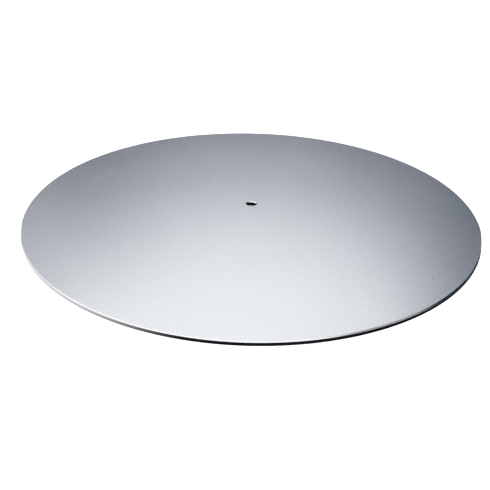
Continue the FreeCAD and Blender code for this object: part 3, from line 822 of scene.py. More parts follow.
def ground_steel(name, colour, rough, lines):
    """Steel with fine lines round the axis, as a grinding wheel or a lathe leaves it."""
    material, tree, shader, where = new_finish(name, colour, 1.0, rough)
    rings = lathe_lines(tree, where, lines)
    smear = grain(tree, where, 260, 3.0)
    uneven = reckon(tree, "ADD", between(tree, rings, -0.05, 0.07), between(tree, smear, -0.04, 0.04))
    wire(tree, reckon(tree, "ADD", uneven, rough), shader.inputs["Roughness"])
    darker = tuple(channel * 0.86 for channel in colour)
    shade = between(tree, rings, 0.0, 1.0, 0.3, 0.7)
    wire(tree, mixed(tree, shade, darker, colour), shader.inputs["Base Color"])
    relief(tree, shader, rings, 0.004)
    return material


def zinc_plating():
    """Bright zinc on steel: cool, slightly cloudy, with a faint warm and blue cast."""
    material, tree, shader, where = new_finish("bright_zinc", (0.66, 0.69, 0.73), 1.0, 0.3)
    cloud = grain(tree, where, 320, 4.0)
    spangle = grain(tree, where, 2600, 2.0)
    wire(tree, between(tree, cloud, 0.22, 0.42, 0.3, 0.7), shader.inputs["Roughness"])
    shade = between(tree, cloud, 0.0, 1.0, 0.35, 0.65)
    wire(tree, mixed(tree, shade, (0.60, 0.64, 0.71), (0.74, 0.74, 0.72)), shader.inputs["Base Color"])
    relief(tree, shader, spangle, 0.006)
    return material


def black_steel():
    """Spring steel with a dark phosphate skin."""
    material, tree, shader, where = new_finish("phosphated_spring", (0.07, 0.07, 0.075), 0.8, 0.42)
    crystals = grain(tree, where, 3000, 3.0)
    wire(tree, between(tree, crystals, 0.36, 0.54, 0.3, 0.7), shader.inputs["Roughness"])
    wire(tree, mixed(tree, crystals, (0.04, 0.04, 0.044), (0.11, 0.11, 0.115)), shader.inputs["Base Color"])
    relief(tree, shader, crystals, 0.006)
    return material


CAST = cast_aluminium()
GROUND = ground_steel("ground_shaft", (0.62, 0.63, 0.65), 0.27, 6)
POLISHED = ground_steel("polished_race", (0.70, 0.71, 0.73), 0.15, 10)
STUD_METAL = ground_steel("rolled_thread", (0.72, 0.73, 0.75), 0.34, 5)
ZINC = zinc_plating()
BLACK = black_steel()
print("metals:", CAST.name, GROUND.name, POLISHED.name, STUD_METAL.name, ZINC.name, BLACK.name)

# %% Enamel, rubber and plastic
HAMMER_DIMPLES = 300
HAMMER_WOBBLE = 2.2
BARE_METAL = (0.42, 0.42, 0.43)
BARE_RADIUS = 26.4
NECK_TOP = heights("base_casting")[1]


def hammered_enamel():
    """Dark grey hammered enamel on iron, with the ring on top of the neck turned bare."""
    material, tree, shader, where = new_finish("hammered_enamel", (0.05, 0.054, 0.06), 0.0, 0.3)
    wobble = node(tree, "ShaderNodeTexNoise")
    wobble.inputs["Scale"].default_value = HAMMER_DIMPLES / 2
    wire(tree, where, wobble.inputs["Vector"])
    shift = node(tree, "ShaderNodeVectorMath", operation="MULTIPLY_ADD")
    shift.inputs[1].default_value = (HAMMER_WOBBLE * MM,) * 3
    wire(tree, wobble.outputs["Color"], shift.inputs[0])
    wire(tree, where, shift.inputs[2])
    dimples = node(tree, "ShaderNodeTexVoronoi", feature="SMOOTH_F1")
    dimples.inputs["Scale"].default_value = HAMMER_DIMPLES
    dimples.inputs["Smoothness"].default_value = 0.7
    wire(tree, shift.outputs[0], dimples.inputs["Vector"])
    peaks = dimples.outputs["Distance"]
    radius, height = radius_and_height(tree, where)
    near_axis = reckon(tree, "LESS_THAN", radius, BARE_RADIUS)
    on_top = reckon(tree, "GREATER_THAN", height, NECK_TOP - 0.05)
    bare = reckon(tree, "MULTIPLY", near_axis, on_top)
    flakes = grain(tree, where, 4200, 2.0)
    shade = between(tree, peaks, 0.0, 1.0, 0.1, 0.7)
    paint = mixed(tree, shade, (0.085, 0.09, 0.098), (0.04, 0.043, 0.048))
    wire(tree, mixed(tree, bare, paint, BARE_METAL), shader.inputs["Base Color"])
    sheen = reckon(tree, "MAXIMUM", bare, between(tree, flakes, 0.25, 0.6, 0.4, 0.7))
    wire(tree, sheen, shader.inputs["Metallic"])
    wire(tree, between(tree, flakes, 0.26, 0.40, 0.3, 0.7), shader.inputs["Roughness"])
    shader.inputs["Coat Weight"].default_value = 0.35
    shader.inputs["Coat Roughness"].default_value = 0.12
    painted = reckon(tree, "SUBTRACT", 1.0, bare)
    relief(tree, shader, reckon(tree, "MULTIPLY", peaks, painted), 0.22)
    relief(tree, shader, reckon(tree, "MULTIPLY", grain(tree, where, 90, 2.0), painted), 0.3)
    return material


def moulded(name, dark, light, rough, pebbles, depth):
    """Rubber or plastic with the fine even skin of its mould."""
    material, tree, shader, where = new_finish(name, dark, 0.0, rough)
    skin = grain(tree, where, pebbles, 3.0)
    dust = grain(tree, where, 120, 4.0)
    shade = between(tree, dust, 0.0, 1.0, 0.35, 0.75)
    wire(tree, mixed(tree, shade, dark, light), shader.inputs["Base Color"])
    wire(tree, between(tree, skin, rough - 0.07, rough + 0.07, 0.3, 0.7), shader.inputs["Roughness"])
    relief(tree, shader, skin, depth)
    return material


ENAMEL = hammered_enamel()
RUBBER = moulded("foot_rubber", (0.018, 0.018, 0.019), (0.045, 0.044, 0.043), 0.68, 1800, 0.03)
PLASTIC = moulded("cage_nylon", (0.022, 0.028, 0.024), (0.035, 0.042, 0.037), 0.45, 2400, 0.012)
print("paint and mouldings:", ENAMEL.name, RUBBER.name, PLASTIC.name)

# %% [markdown]
# ## The wheel head
# The head is a flat sheet, turned to size with a small bevel on both edges of the rim and another round the
# centring hole. A plain cylinder would have none of these, and it is the thin bright line of a bevel that
# makes the sheet look like metal. The lathe tree turns it with 720 sides, so that the rim stays round even
# close up. The flat faces get a few extra rings, which keep their faces from being long slivers.

# %% Turn the wheel head
EASE = 0.12
DEBURR = 0.3
RIM_SIDES = 720
disc_outline = [
    (HOLE + DEBURR, UNDER_HEAD),
    (RIM - RIM_BEVEL, UNDER_HEAD, EASE),
    (RIM, UNDER_HEAD + RIM_BEVEL, EASE),
    (RIM, TABLE_TOP - RIM_BEVEL, EASE),
    (RIM - RIM_BEVEL, TABLE_TOP, EASE),
    (HOLE + HOLE_BEVEL, TABLE_TOP, EASE),
    (HOLE, TABLE_TOP - HOLE_BEVEL, EASE),
    (HOLE, UNDER_HEAD + DEBURR),
]
wheel_disc = lathe("wheel_head_disc", disc_outline, SATIN, sides=RIM_SIDES, longest=24)
stand_for(wheel_disc, "wheel_head", "satin_aluminium", "wheel_disc")

# %% [markdown]
# ## Studs, washers and nuts
# Nothing shows on top of the head, because it is held from below. Studs are welded to its underside, pass
# through the hub's flange and take a washer and a nut each. One stud, one washer and one nut are made at
# angle zero, and the ring tree makes six of each. A nut's six corners are turned off to a shallow cone, and
# that curved edge is what tells a nut from a plain hexagonal block.

# %% Weld studs
STUDS = 6
STUD_RING = 40.0
STUD_START = 180 / STUDS
STUD_RADIUS = 2.0
STUD_PITCH = 0.7
STUD_FOOT = 0.8
STUD_FOOT_RADIUS = 2.75
STUD_NECK = 0.6
STUD_FILLET = 0.15
FOOT_BREAK = 0.25
stud_low, stud_high = heights("weld_studs")
stud_root = STUD_RADIUS - STUD_PITCH * ROOT
LEAD = 0.15


def thread(radius, pitch, low, high):
    """A thread's sizes, in the order that threaded takes them."""
    return radius, pitch, low, high, LEAD


def end_of(radius, pitch):
    """The radius at which a thread's lead-in ends."""
    return radius - pitch * ROOT - LEAD


stud_end = end_of(STUD_RADIUS, STUD_PITCH)
foot_low = stud_high - STUD_FOOT
stud = threaded(
    "weld_stud_set",
    [(0, stud_low), (stud_end, stud_low)],
    thread(STUD_RADIUS, STUD_PITCH, stud_low, foot_low - STUD_NECK),
    [
        (stud_end, foot_low - STUD_NECK),
        (stud_root + STUD_FILLET, foot_low - STUD_NECK / 2),
        (stud_root + STUD_FILLET, foot_low),
        (STUD_FOOT_RADIUS - FOOT_BREAK, foot_low),
        (STUD_FOOT_RADIUS, foot_low + FOOT_BREAK),
        (STUD_FOOT_RADIUS, stud_high),
        (0, stud_high),
    ],
    STUD_METAL,
)
stud_set = ring_of(move(stud, x=STUD_RING), STUDS, STUD_START, STUD_METAL)
stand_for(stud_set, "wheel_head", "aluminium_studs", "weld_studs")

# %% Washers
WASHER_EDGE = 0.12


def washer(name, node_name, hole, outer):
    """A stamped washer: its punched edge is rounded above and left with a small break below."""
    low, high = heights(node_name)
    corners = [
        (hole, low, WASHER_EDGE / 2),
        (outer, low, WASHER_EDGE / 2),
        (outer, high, WASHER_EDGE * 2),
        (hole, high, WASHER_EDGE * 2),
    ]
    return lathe(name, corners, ZINC, sides=64)


WASHER_RADIUS = 4.5
WASHER_HOLE = 2.125
stud_washer = move(washer("stud_washer_set", "stud_washers", WASHER_HOLE, WASHER_RADIUS), x=STUD_RING)
washer_set = ring_of(stud_washer, STUDS, STUD_START, ZINC)
stand_for(washer_set, "wheel_head", "zinc_plated", "stud_washers")

# %% Nuts
NUT_FLATS = 7.0
NUT_LIP = 0.25
NUT_CONE = 0.97
NUT_SLOPE = math.tan(math.radians(30))


def hexagon_radius(flats, angle):
    """How far a hexagon's side is from its centre at an angle, with a flat facing angle zero."""
    return flats / 2 / math.cos((angle + math.pi / 6) % (math.pi / 3) - math.pi / 6)


def nut(name, flats, hole, low, high, sides=72):
    """A hexagonal nut. Each ring of points is cut down where it lies outside the turned cone."""
    cone = flats / 2 * NUT_CONE

    def shoulder(radius):
        """How far the cone has cut below the face at a radius."""
        return max(0.0, (radius - cone) * NUT_SLOPE)

    columns = []
    for side in range(sides):
        angle = math.tau * side / sides
        edge = hexagon_radius(flats, angle)
        rings = [(hole, low + NUT_LIP), (hole + NUT_LIP, low), (cone, low)]
        rings += [(edge, low + shoulder(edge)), (edge, high - shoulder(edge))]
        rings += [(cone, high), (hole + NUT_LIP, high), (hole, high - NUT_LIP)]
        columns.append([(r * math.cos(angle), r * math.sin(angle), z) for r, z in rings])
    tall = len(columns[0])
    points = [point for column in columns for point in column]
    faces = []
    for side in range(sides):
        here, there = side * tall, (side + 1) % sides * tall
        for row in range(tall):
            above = (row + 1) % tall
            faces.append((here + row, there + row, there + above, here + above))
    piece = new_piece(name, points, faces=faces)
    piece.data.materials.append(ZINC)
    return tidy(piece)


stud_nut = move(nut("stud_nut_set", NUT_FLATS, STUD_RADIUS, *heights("stud_nuts")), x=STUD_RING)
nut_set = ring_of(stud_nut, STUDS, STUD_START, ZINC)
stand_for(nut_set, "wheel_head", "zinc_plated", "stud_nuts")

# %% [markdown]
# ## The hub
# The hub is one casting: a flange that carries the head, a boss that grips the shaft, and a skirt that
# hangs over the neck of the base so that water runs off outside the bearings. Three ribs brace the flange.
# The lathe gives the round part, the ring tree gives the ribs and the holes, and four boolean steps put
# them together. The ribs are bevelled before they are joined on, because a pattern maker rounds them too.

# %% Turn the hub
SHAFT = 7.5
BOSS_RADIUS = 17.0
SKIRT_INNER = 29.0
SKIRT_OUTER = 32.0
FLANGE_THICK = 6.0
BOSS_DROP = 8.0
CAST_ROUND = 2.0
TURNED_BREAK = 0.4
RIBS = 3
hub_low, hub_high = heights("hub")
flange_radius = reach("hub")
flange_low = hub_high - FLANGE_THICK
boss_low = heights("spindle")[1] - FLANGE_THICK - BOSS_DROP
hub_outline = [
    (SHAFT, boss_low + TURNED_BREAK),
    (SHAFT + TURNED_BREAK, boss_low),
    (BOSS_RADIUS, boss_low, 0.8),
    (BOSS_RADIUS, flange_low, CAST_ROUND),
    (SKIRT_INNER, flange_low, CAST_ROUND),
    (SKIRT_INNER, hub_low, 0.6),
    (SKIRT_OUTER, hub_low, 1.0),
    (SKIRT_OUTER, flange_low, CAST_ROUND),
    (flange_radius, flange_low, 1.2),
    (flange_radius, hub_high, TURNED_BREAK),
    (SHAFT + TURNED_BREAK, hub_high),
    (SHAFT, hub_high - TURNED_BREAK),
]
hub = lathe("hub_casting", hub_outline, CAST, sides=240, longest=6)
print("hub turned:", len(hub.data.polygons), "faces")

# %% Ribs
RIB_THICK = 4.0
RIB_DEPTH = 9.0
RIB_MARGIN = 3.0
RIB_OVERLAP = 1.5
RIB_ROUND = 0.8


def rib():
    """A triangular brace from the skirt to the flange, at angle zero, with rounded edges."""
    root, tip = SKIRT_OUTER - RIB_OVERLAP, flange_radius - RIB_MARGIN
    side = [
        (root, flange_low - RIB_DEPTH),
        (SKIRT_OUTER, flange_low - RIB_DEPTH),
        (tip, flange_low),
        (tip, flange_low + FLANGE_THICK / 2),
        (root, flange_low + FLANGE_THICK / 2),
    ]
    half = RIB_THICK / 2
    points = [(x, -half, z) for x, z in side] + [(x, half, z) for x, z in side]
    count = len(side)
    walls = [(here, (here + 1) % count, (here + 1) % count + count, here + count) for here in range(count)]
    faces = [tuple(reversed(range(count))), tuple(range(count, count * 2)), *walls]
    piece = tidy(new_piece("rib", points, faces=faces))
    soften = piece.modifiers.new("Soften", "BEVEL")
    soften.width = RIB_ROUND * MM
    soften.segments = 3
    return tidy(keep_result(piece))


ribs = ring_of(rib(), RIBS, 0, CAST)
hub = combine(hub, ribs, "UNION")
print("ribs joined on:", len(hub.data.polygons), "faces")

# %% Drill the hub
HOLE_SLACK = 0.25
GRUB_RADIUS = 2.5
GRUB_START = 180
GRUB_HEIGHT = (heights("grub_screws")[0] + heights("grub_screws")[1]) / 2


def plain_drill(name, radius, low, high, mouth=0.0, sides=48):
    """A cutter along Z. A mouth widens both its ends into a small countersink."""
    corners = [(radius, low), (radius, high)]
    if mouth:
        corners = [(radius + mouth, low), (radius, low + mouth)]
        corners += [(radius, high - mouth), (radius + mouth, high)]
    return lathe(name, [(0, low), *corners, (0, high)], CAST, sides, closed=False)


def stud_drill():
    """The clearance hole for a stud, with the wider seat for the stud's welded foot."""
    seat = STUD_FOOT_RADIUS + HOLE_SLACK
    hole = STUD_RADIUS + HOLE_SLACK
    corners = [
        (0, flange_low - 1),
        (hole + 1.3, flange_low - 1),
        (hole, flange_low + 0.3),
        (hole, hub_high - STUD_FOOT - HOLE_SLACK),
        (seat, hub_high - STUD_FOOT - HOLE_SLACK),
        (seat, hub_high + 1),
        (0, hub_high + 1),
    ]
    return lathe("stud_drill", corners, CAST, sides=48, closed=False)


KEY_HOLE = GRUB_RADIUS + HOLE_SLACK
hub = combine(hub, ring_of(move(stud_drill(), x=STUD_RING), STUDS, STUD_START, CAST))
grub_drill = plain_drill("grub_drill", GRUB_RADIUS, SHAFT / 2, BOSS_RADIUS + 1)
key_drill = plain_drill("key_drill", KEY_HOLE, SKIRT_INNER - 1.5, SKIRT_OUTER + 0.6, mouth=1.0)
for drill in (grub_drill, key_drill):
    drill = move(spin(drill, "Y", 90), z=GRUB_HEIGHT)
    hub = combine(hub, ring_of(drill, RIBS, GRUB_START, CAST))
stand_for(hub, "wheel_head", "cast_aluminium", "hub")

# %% [markdown]
# ## Screws with sockets
# A grub screw is a thread with a hexagonal socket at one end and a cupped point at the other. The socket
# is cut with a boolean, and its floor ends in the shallow cone that a drill leaves. The same three steps,
# a thread, a socket and a ring of copies, make the cover's countersunk screws and the feet's screws.

# %% Grub screws
GRUB_PITCH = 0.8
GRUB_LENGTH = 8.0
GRUB_SOCKET = 2.5
GRUB_SOCKET_DEPTH = 2.0
GRUB_CUP = 0.5
SOCKET_CONE = 0.4


def socket(piece, flats, mouth, depth, finish):
    """Cuts a hexagonal socket that opens at a height, and runs up or down by a depth."""
    way = 1 if depth > 0 else -1
    tool = hexagon("socket_tool", flats, mouth - way / 2, mouth + depth, finish, way * SOCKET_CONE)
    return combine(piece, tidy(tool))


outer_end = SHAFT + GRUB_LENGTH
grub_end = end_of(GRUB_RADIUS, GRUB_PITCH)
grub = threaded(
    "grub_screw_set",
    [(0, SHAFT + GRUB_CUP), (grub_end - GRUB_CUP, SHAFT)],
    thread(GRUB_RADIUS, GRUB_PITCH, SHAFT, outer_end),
    [(0, outer_end)],
    BLACK,
)
grub = socket(grub, GRUB_SOCKET, outer_end, -GRUB_SOCKET_DEPTH, BLACK)
grub = move(spin(grub, "Y", 90), z=GRUB_HEIGHT)
stand_for(ring_of(grub, RIBS, GRUB_START, BLACK), "wheel_head", "spring_steel", "grub_screws")

# %% [markdown]
# ## The spindle
# The spindle is ground to fit its bearings, so its finish is finer than anything above it. A collar
# carries the hub, a groove takes the retaining ring, and the top is tapped for a screw or a centring pin.
# The tapped hole is cut with a threaded rod, as a tap cuts it, so a screw thread shows inside the hole.

# %% Turn and tap the spindle
COLLAR_RADIUS = 10.5
COLLAR_THICK = 2.0
TAP_RADIUS = 3.0
TAP_PITCH = 1.0
TAP_DEPTH = 16.0
TAP_MOUTH = 0.6
CLIP_GROOVE = 0.35
END_BEVEL = 0.8
spindle_low, spindle_high = heights("spindle")
clip_low, clip_high = heights("spindle_clip")
collar_low = boss_low - COLLAR_THICK
spindle_outline = [
    (0, spindle_low),
    (SHAFT - END_BEVEL, spindle_low, 0.1),
    (SHAFT, spindle_low + END_BEVEL, 0.1),
    (SHAFT, clip_low),
    (SHAFT - CLIP_GROOVE, clip_low),
    (SHAFT - CLIP_GROOVE, clip_high),
    (SHAFT, clip_high),
    (SHAFT, collar_low, 0.2),
    (COLLAR_RADIUS, collar_low, 0.3),
    (COLLAR_RADIUS, boss_low, 0.3),
    (SHAFT, boss_low, 0.2),
    (SHAFT, spindle_high - END_BEVEL, 0.1),
    (SHAFT - END_BEVEL, spindle_high, 0.1),
    (0, spindle_high),
]
spindle = lathe("spindle_shaft", spindle_outline, GROUND, sides=144, closed=False)
tap_low = spindle_high - TAP_DEPTH
tap_end = end_of(TAP_RADIUS, TAP_PITCH)
tap = threaded(
    "tap",
    [(0, tap_low - 1.2), (tap_end, tap_low)],
    thread(TAP_RADIUS, TAP_PITCH, tap_low, spindle_high + 3),
    [(0, spindle_high + 3)],
    GROUND,
)
spindle = combine(spindle, tap)
mouth_high = spindle_high + TAP_MOUTH
mouth_outline = [(0, spindle_high - TAP_RADIUS), (TAP_RADIUS + TAP_MOUTH, mouth_high), (0, mouth_high)]
spindle = combine(spindle, lathe("tap_mouth", mouth_outline, GROUND, sides=48, closed=False))
stand_for(spindle, "wheel_head", "ground_steel", "spindle")

# %% [markdown]
# ## Ball bearings
# Each bearing has five kinds of piece: an inner ring on the shaft, an outer ring in the neck, the balls
# between them, a cage that keeps the balls apart, and two thin shields. The races are arcs a little wider
# than a ball, so a ball touches at one point and rolls. Both bearings are alike, so one function makes a
# bearing from the height at which its nodes stand, and is called twice.

# %% Bearing sizes
BEARING_RADIUS = 17.5
BEARING_WIDTH = 11.0
BALL_RADIUS = 2.975
BALLS = 8
BALL_SLACK = 0.02
RACE_SHARE = 0.52
RACE_RADIUS = RACE_SHARE * BALL_RADIUS * 2
RACE_DEPTH = 1.245
RING_BEVEL = 0.3
SHIELD_SEAT = 1.1
PITCH_RADIUS = (SHAFT + BEARING_RADIUS) / 2
INNER_SHOULDER = PITCH_RADIUS - BALL_RADIUS - BALL_SLACK + RACE_DEPTH
OUTER_SHOULDER = PITCH_RADIUS + BALL_RADIUS + BALL_SLACK - RACE_DEPTH
SHIELD_OUTER = OUTER_SHOULDER + 0.95
RACE_STEPS = 14


def race(shoulder, outwards, middle):
    """The points of a race's arc, from its lower edge to its upper edge."""
    rise = math.acos(1 - RACE_DEPTH / RACE_RADIUS)
    centre = shoulder - outwards * (RACE_RADIUS - RACE_DEPTH)
    points = []
    for step in range(RACE_STEPS + 1):
        angle = -rise + 2 * rise * step / RACE_STEPS
        radius = centre + outwards * RACE_RADIUS * math.cos(angle)
        points.append((radius, middle + RACE_RADIUS * math.sin(angle)))
    return points


print(f"shoulders at {INNER_SHOULDER:.2f} and {OUTER_SHOULDER:.2f} mm")

# %% Rings and shields


def inner_ring(name, low):
    """The ring on the shaft, with its race on the outside."""
    high = low + BEARING_WIDTH
    corners = [(SHAFT, low + RING_BEVEL), (SHAFT + RING_BEVEL, low), (INNER_SHOULDER, low, 0.15)]
    corners += race(INNER_SHOULDER, -1, low + BEARING_WIDTH / 2)
    corners += [(INNER_SHOULDER, high, 0.15), (SHAFT + RING_BEVEL, high), (SHAFT, high - RING_BEVEL)]
    return lathe(name, corners, POLISHED, sides=144)


def outer_ring(name, low):
    """The ring in the neck, with its race on the inside and a step at each end for a shield."""
    high = low + BEARING_WIDTH
    low_step, high_step = low + SHIELD_SEAT, high - SHIELD_SEAT
    corners = [(SHIELD_OUTER, low), (SHIELD_OUTER, low_step), (OUTER_SHOULDER, low_step, 0.1)]
    corners += race(OUTER_SHOULDER, 1, low + BEARING_WIDTH / 2)
    corners += [(OUTER_SHOULDER, high_step, 0.1), (SHIELD_OUTER, high_step), (SHIELD_OUTER, high)]
    corners += [(BEARING_RADIUS - RING_BEVEL, high), (BEARING_RADIUS, high - RING_BEVEL)]
    corners += [(BEARING_RADIUS, low + RING_BEVEL), (BEARING_RADIUS - RING_BEVEL, low)]
    return lathe(name, corners, POLISHED, sides=144)


SHIELD_THICK = 0.6
SHIELD_INSET = 0.5
SHIELD_INNER = INNER_SHOULDER + 0.25
SHIELD_PRESS = 0.2


def shield(low, up):
    """A pressed sheet shield with a shallow step. Up is 1 for the top one and -1 for the bottom one."""
    face = low + SHIELD_THICK if up > 0 else low
    back = face - up * SHIELD_THICK
    step = up * SHIELD_PRESS
    mid = (SHIELD_INNER + SHIELD_OUTER) / 2
    corners = [(SHIELD_INNER, back, 0.05), (SHIELD_INNER, face - step, 0.15), (mid - 0.4, face - step)]
    corners += [(mid, face), (SHIELD_OUTER, face, 0.1), (SHIELD_OUTER, back, 0.05)]
    return lathe("shield", corners, ZINC, sides=144)


def joined(name, pieces):
    """Several pieces as one mesh."""
    work = bmesh.new()
    for piece in pieces:
        work.from_mesh(piece.data)
    whole = pieces[0]
    work.to_mesh(whole.data)
    work.free()
    for piece in pieces[1:]:
        bpy.data.objects.remove(piece)
    whole.name = name
    return tidy(whole)


print(f"shields from {SHIELD_INNER:.2f} to {SHIELD_OUTER:.2f} mm")

# %% Balls and cage
CAGE_GAP = 0.55
CAGE_MARGIN = 1.5
POCKET_SLACK = 0.1
BALL_STEPS = 24


def ball_set(name, low):
    """The balls, each a lathed half circle that is moved out to the pitch circle."""
    middle = low + BEARING_WIDTH / 2
    half = []
    for step in range(BALL_STEPS + 1):
        angle = -math.pi / 2 + math.pi * step / BALL_STEPS
        half.append((abs(BALL_RADIUS * math.cos(angle)), middle + BALL_RADIUS * math.sin(angle)))
    ball = lathe(name, half, POLISHED, sides=48, closed=False)
    return ring_of(move(ball, x=PITCH_RADIUS), BALLS, 0, POLISHED)


def cage(name, low):
    """A moulded ring with a round pocket for each ball."""
    inner, outer = INNER_SHOULDER + CAGE_GAP, OUTER_SHOULDER - CAGE_GAP
    bottom, top = low + CAGE_MARGIN, low + BEARING_WIDTH - CAGE_MARGIN
    corners = [(inner, bottom, 0.3), (outer, bottom, 0.3), (outer, top, 0.3), (inner, top, 0.3)]
    ring = lathe(name, corners, PLASTIC, sides=160)
    drill = plain_drill("pocket", BALL_RADIUS + POCKET_SLACK, inner - 1, outer + 1)
    drill = move(spin(drill, "Y", 90), z=low + BEARING_WIDTH / 2)
    return combine(ring, ring_of(drill, BALLS, 0, PLASTIC))


def bearing(level):
    """All the pieces of one bearing, each on the body that carries it."""
    low = heights(f"{level}_outer_ring")[0]
    top = low + BEARING_WIDTH - SHIELD_INSET - SHIELD_THICK
    both = joined(f"{level}_shield_pair", [shield(low + SHIELD_INSET, -1), shield(top, 1)])
    inner, outer = inner_ring(f"{level}_inner_race", low), outer_ring(f"{level}_outer_race", low)
    stand_for(inner, "wheel_head", "bearing_steel", f"{level}_inner_ring")
    stand_for(outer, "base", "bearing_steel", f"{level}_outer_ring")
    stand_for(ball_set(f"{level}_ball_ring", low), f"{level}_ball_set", "bearing_steel", f"{level}_balls")
    stand_for(cage(f"{level}_ball_cage", low), f"{level}_ball_set", "cage_plastic", f"{level}_cage")
    stand_for(both, "base", "zinc_plated", f"{level}_shields")


bearing("upper")
bearing("lower")

# %% [markdown]
# ## What holds the bearings
# A sleeve keeps the two inner rings apart, a shim takes up the last play under the lower one, and a sprung
# ring in a groove of the shaft holds them all against the collar. A second sprung ring in the neck holds
# the lower outer ring up. Each sprung ring is open on one side and has two lugs with holes for pliers.

# %% Sleeve and shim


def plain_ring(name, node_name, inner, outer, finish, edge=0.2):
    """A turned ring with small rounds, between a node's own heights."""
    low, high = heights(node_name)
    corners = [(inner, low, edge), (outer, low, edge), (outer, high, edge), (inner, high, edge)]
    return lathe(name, corners, finish, sides=128)


sleeve = plain_ring("inner_ring_sleeve", "spacer_sleeve", SHAFT, reach("spacer_sleeve"), GROUND)
stand_for(sleeve, "wheel_head", "ground_steel", "spacer_sleeve")
shim = plain_ring("bearing_shim", "shim_washer", SHAFT, reach("shim_washer"), BLACK, edge=0.1)
stand_for(shim, "wheel_head", "spring_steel", "shim_washer")

# %% Sprung retaining rings
LUG_RADIUS = 1.8
LUG_HOLE = 0.8
CLIP_OPENING = 3.0
CLIP_EDGE = 0.08


def post(radius, low, high, x, y):
    """An upright round bar with a small edge."""
    corners = [(0, low), (radius, low, CLIP_EDGE), (radius, high, CLIP_EDGE), (0, high)]
    return move(lathe("post", corners, BLACK, sides=40, closed=False), x=x, y=y)


def block(x_low, x_high, y_low, y_high, z_low, z_high):
    """A plain box as a cutter."""
    points = [(x, y, z) for x in (x_low, x_high) for y in (y_low, y_high) for z in (z_low, z_high)]
    faces = [(0, 1, 3, 2), (4, 6, 7, 5), (0, 4, 5, 1), (2, 3, 7, 6), (0, 2, 6, 4), (1, 5, 7, 3)]
    return tidy(new_piece("block", points, faces=faces))


def sprung_ring(name, node_name, inner, outer, lug_ring):
    """A retaining ring that opens towards +X, with a drilled lug on each side of the opening."""
    low, high = heights(node_name)
    ring = plain_ring(name, node_name, inner, outer, BLACK, CLIP_EDGE)
    half = CLIP_OPENING / 2
    ring = combine(ring, block(0, outer * 2, -half, half, low - 1, high + 1))
    for side in (-1, 1):
        y = side * (half + LUG_RADIUS)
        ring = combine(ring, post(LUG_RADIUS, low, high, lug_ring, y), "UNION")
        ring = combine(ring, post(LUG_HOLE, low - 1, high + 1, lug_ring, y))
    return ring


SPINDLE_CLIP_WALL = 2.6
HOUSING_CLIP_WALL = 2.5
HOUSING_GROOVE = 1.0
spindle_clip_inner = SHAFT - CLIP_GROOVE
spindle_clip_outer = spindle_clip_inner + SPINDLE_CLIP_WALL
housing_clip_outer = BEARING_RADIUS + HOUSING_GROOVE
housing_clip_inner = housing_clip_outer - HOUSING_CLIP_WALL
shaft_ring = sprung_ring(
    "spindle_retaining_ring",
    "spindle_clip",
    spindle_clip_inner,
    spindle_clip_outer,
    (spindle_clip_inner + spindle_clip_outer) / 2,
)
neck_ring = sprung_ring(
    "housing_retaining_ring",
    "housing_clip",
    housing_clip_inner,
    housing_clip_outer,
    housing_clip_inner - LUG_RADIUS / 2,
)
stand_for(shaft_ring, "wheel_head", "spring_steel", "spindle_clip")
stand_for(neck_ring, "base", "spring_steel", "housing_clip")

# %% [markdown]
# ## The base
# The base is iron, because its weight keeps the wheel where it stands. Its top sweeps up into the neck in
# one large curve, which is the line that the eye follows, so the lathe draws it as a true arc. The casting
# is never quite even, and a third small tree moves the points of the skin inwards by a fraction of a
# millimetre, following noise with a fixed seed. The machined bore and the neck's top are left alone. The
# hollow, the pockets and the screw holes of the underside are cut afterwards, so their edges stay clean.

# %% The cast skin tree


def skin_tree():
    """Sinks the points outside a radius by noise, along their normals, and leaves the rest alone."""
    numbers = [(name, "Float") for name in ("Depth", "Waves", "Inside", "Seed")]
    tree = new_tree("Cast skin", [*numbers, ("Finish", "Material")])
    given = node(tree, "NodeGroupInput")
    spot = node(tree, "GeometryNodeInputPosition").outputs[0]
    radius = radius_and_height(tree, spot)[0]
    outside = reckon(tree, "GREATER_THAN", radius, given.outputs["Inside"])
    noise = node(tree, "ShaderNodeTexNoise", noise_dimensions="4D")
    noise.inputs["Detail"].default_value = 3
    wire(tree, spot, noise.inputs["Vector"])
    wire(tree, given.outputs["Waves"], noise.inputs["Scale"])
    wire(tree, given.outputs["Seed"], noise.inputs["W"])
    amount = reckon(tree, "MULTIPLY", reckon(tree, "MULTIPLY", noise.outputs["Fac"], outside), -1)
    sink = node(tree, "ShaderNodeVectorMath", operation="SCALE")
    wire(tree, node(tree, "GeometryNodeInputNormal").outputs[0], sink.inputs[0])
    wire(tree, reckon(tree, "MULTIPLY", amount, given.outputs["Depth"]), sink.inputs["Scale"])
    shift = node(tree, "GeometryNodeSetPosition")
    wire(tree, given.outputs["Geometry"], shift.inputs["Geometry"])
    wire(tree, sink.outputs[0], shift.inputs["Offset"])
    end_tree(tree, shift.outputs["Geometry"], given.outputs["Finish"])
    return tree


SKIN = skin_tree()
print("skin tree:", len(SKIN.nodes), "nodes")

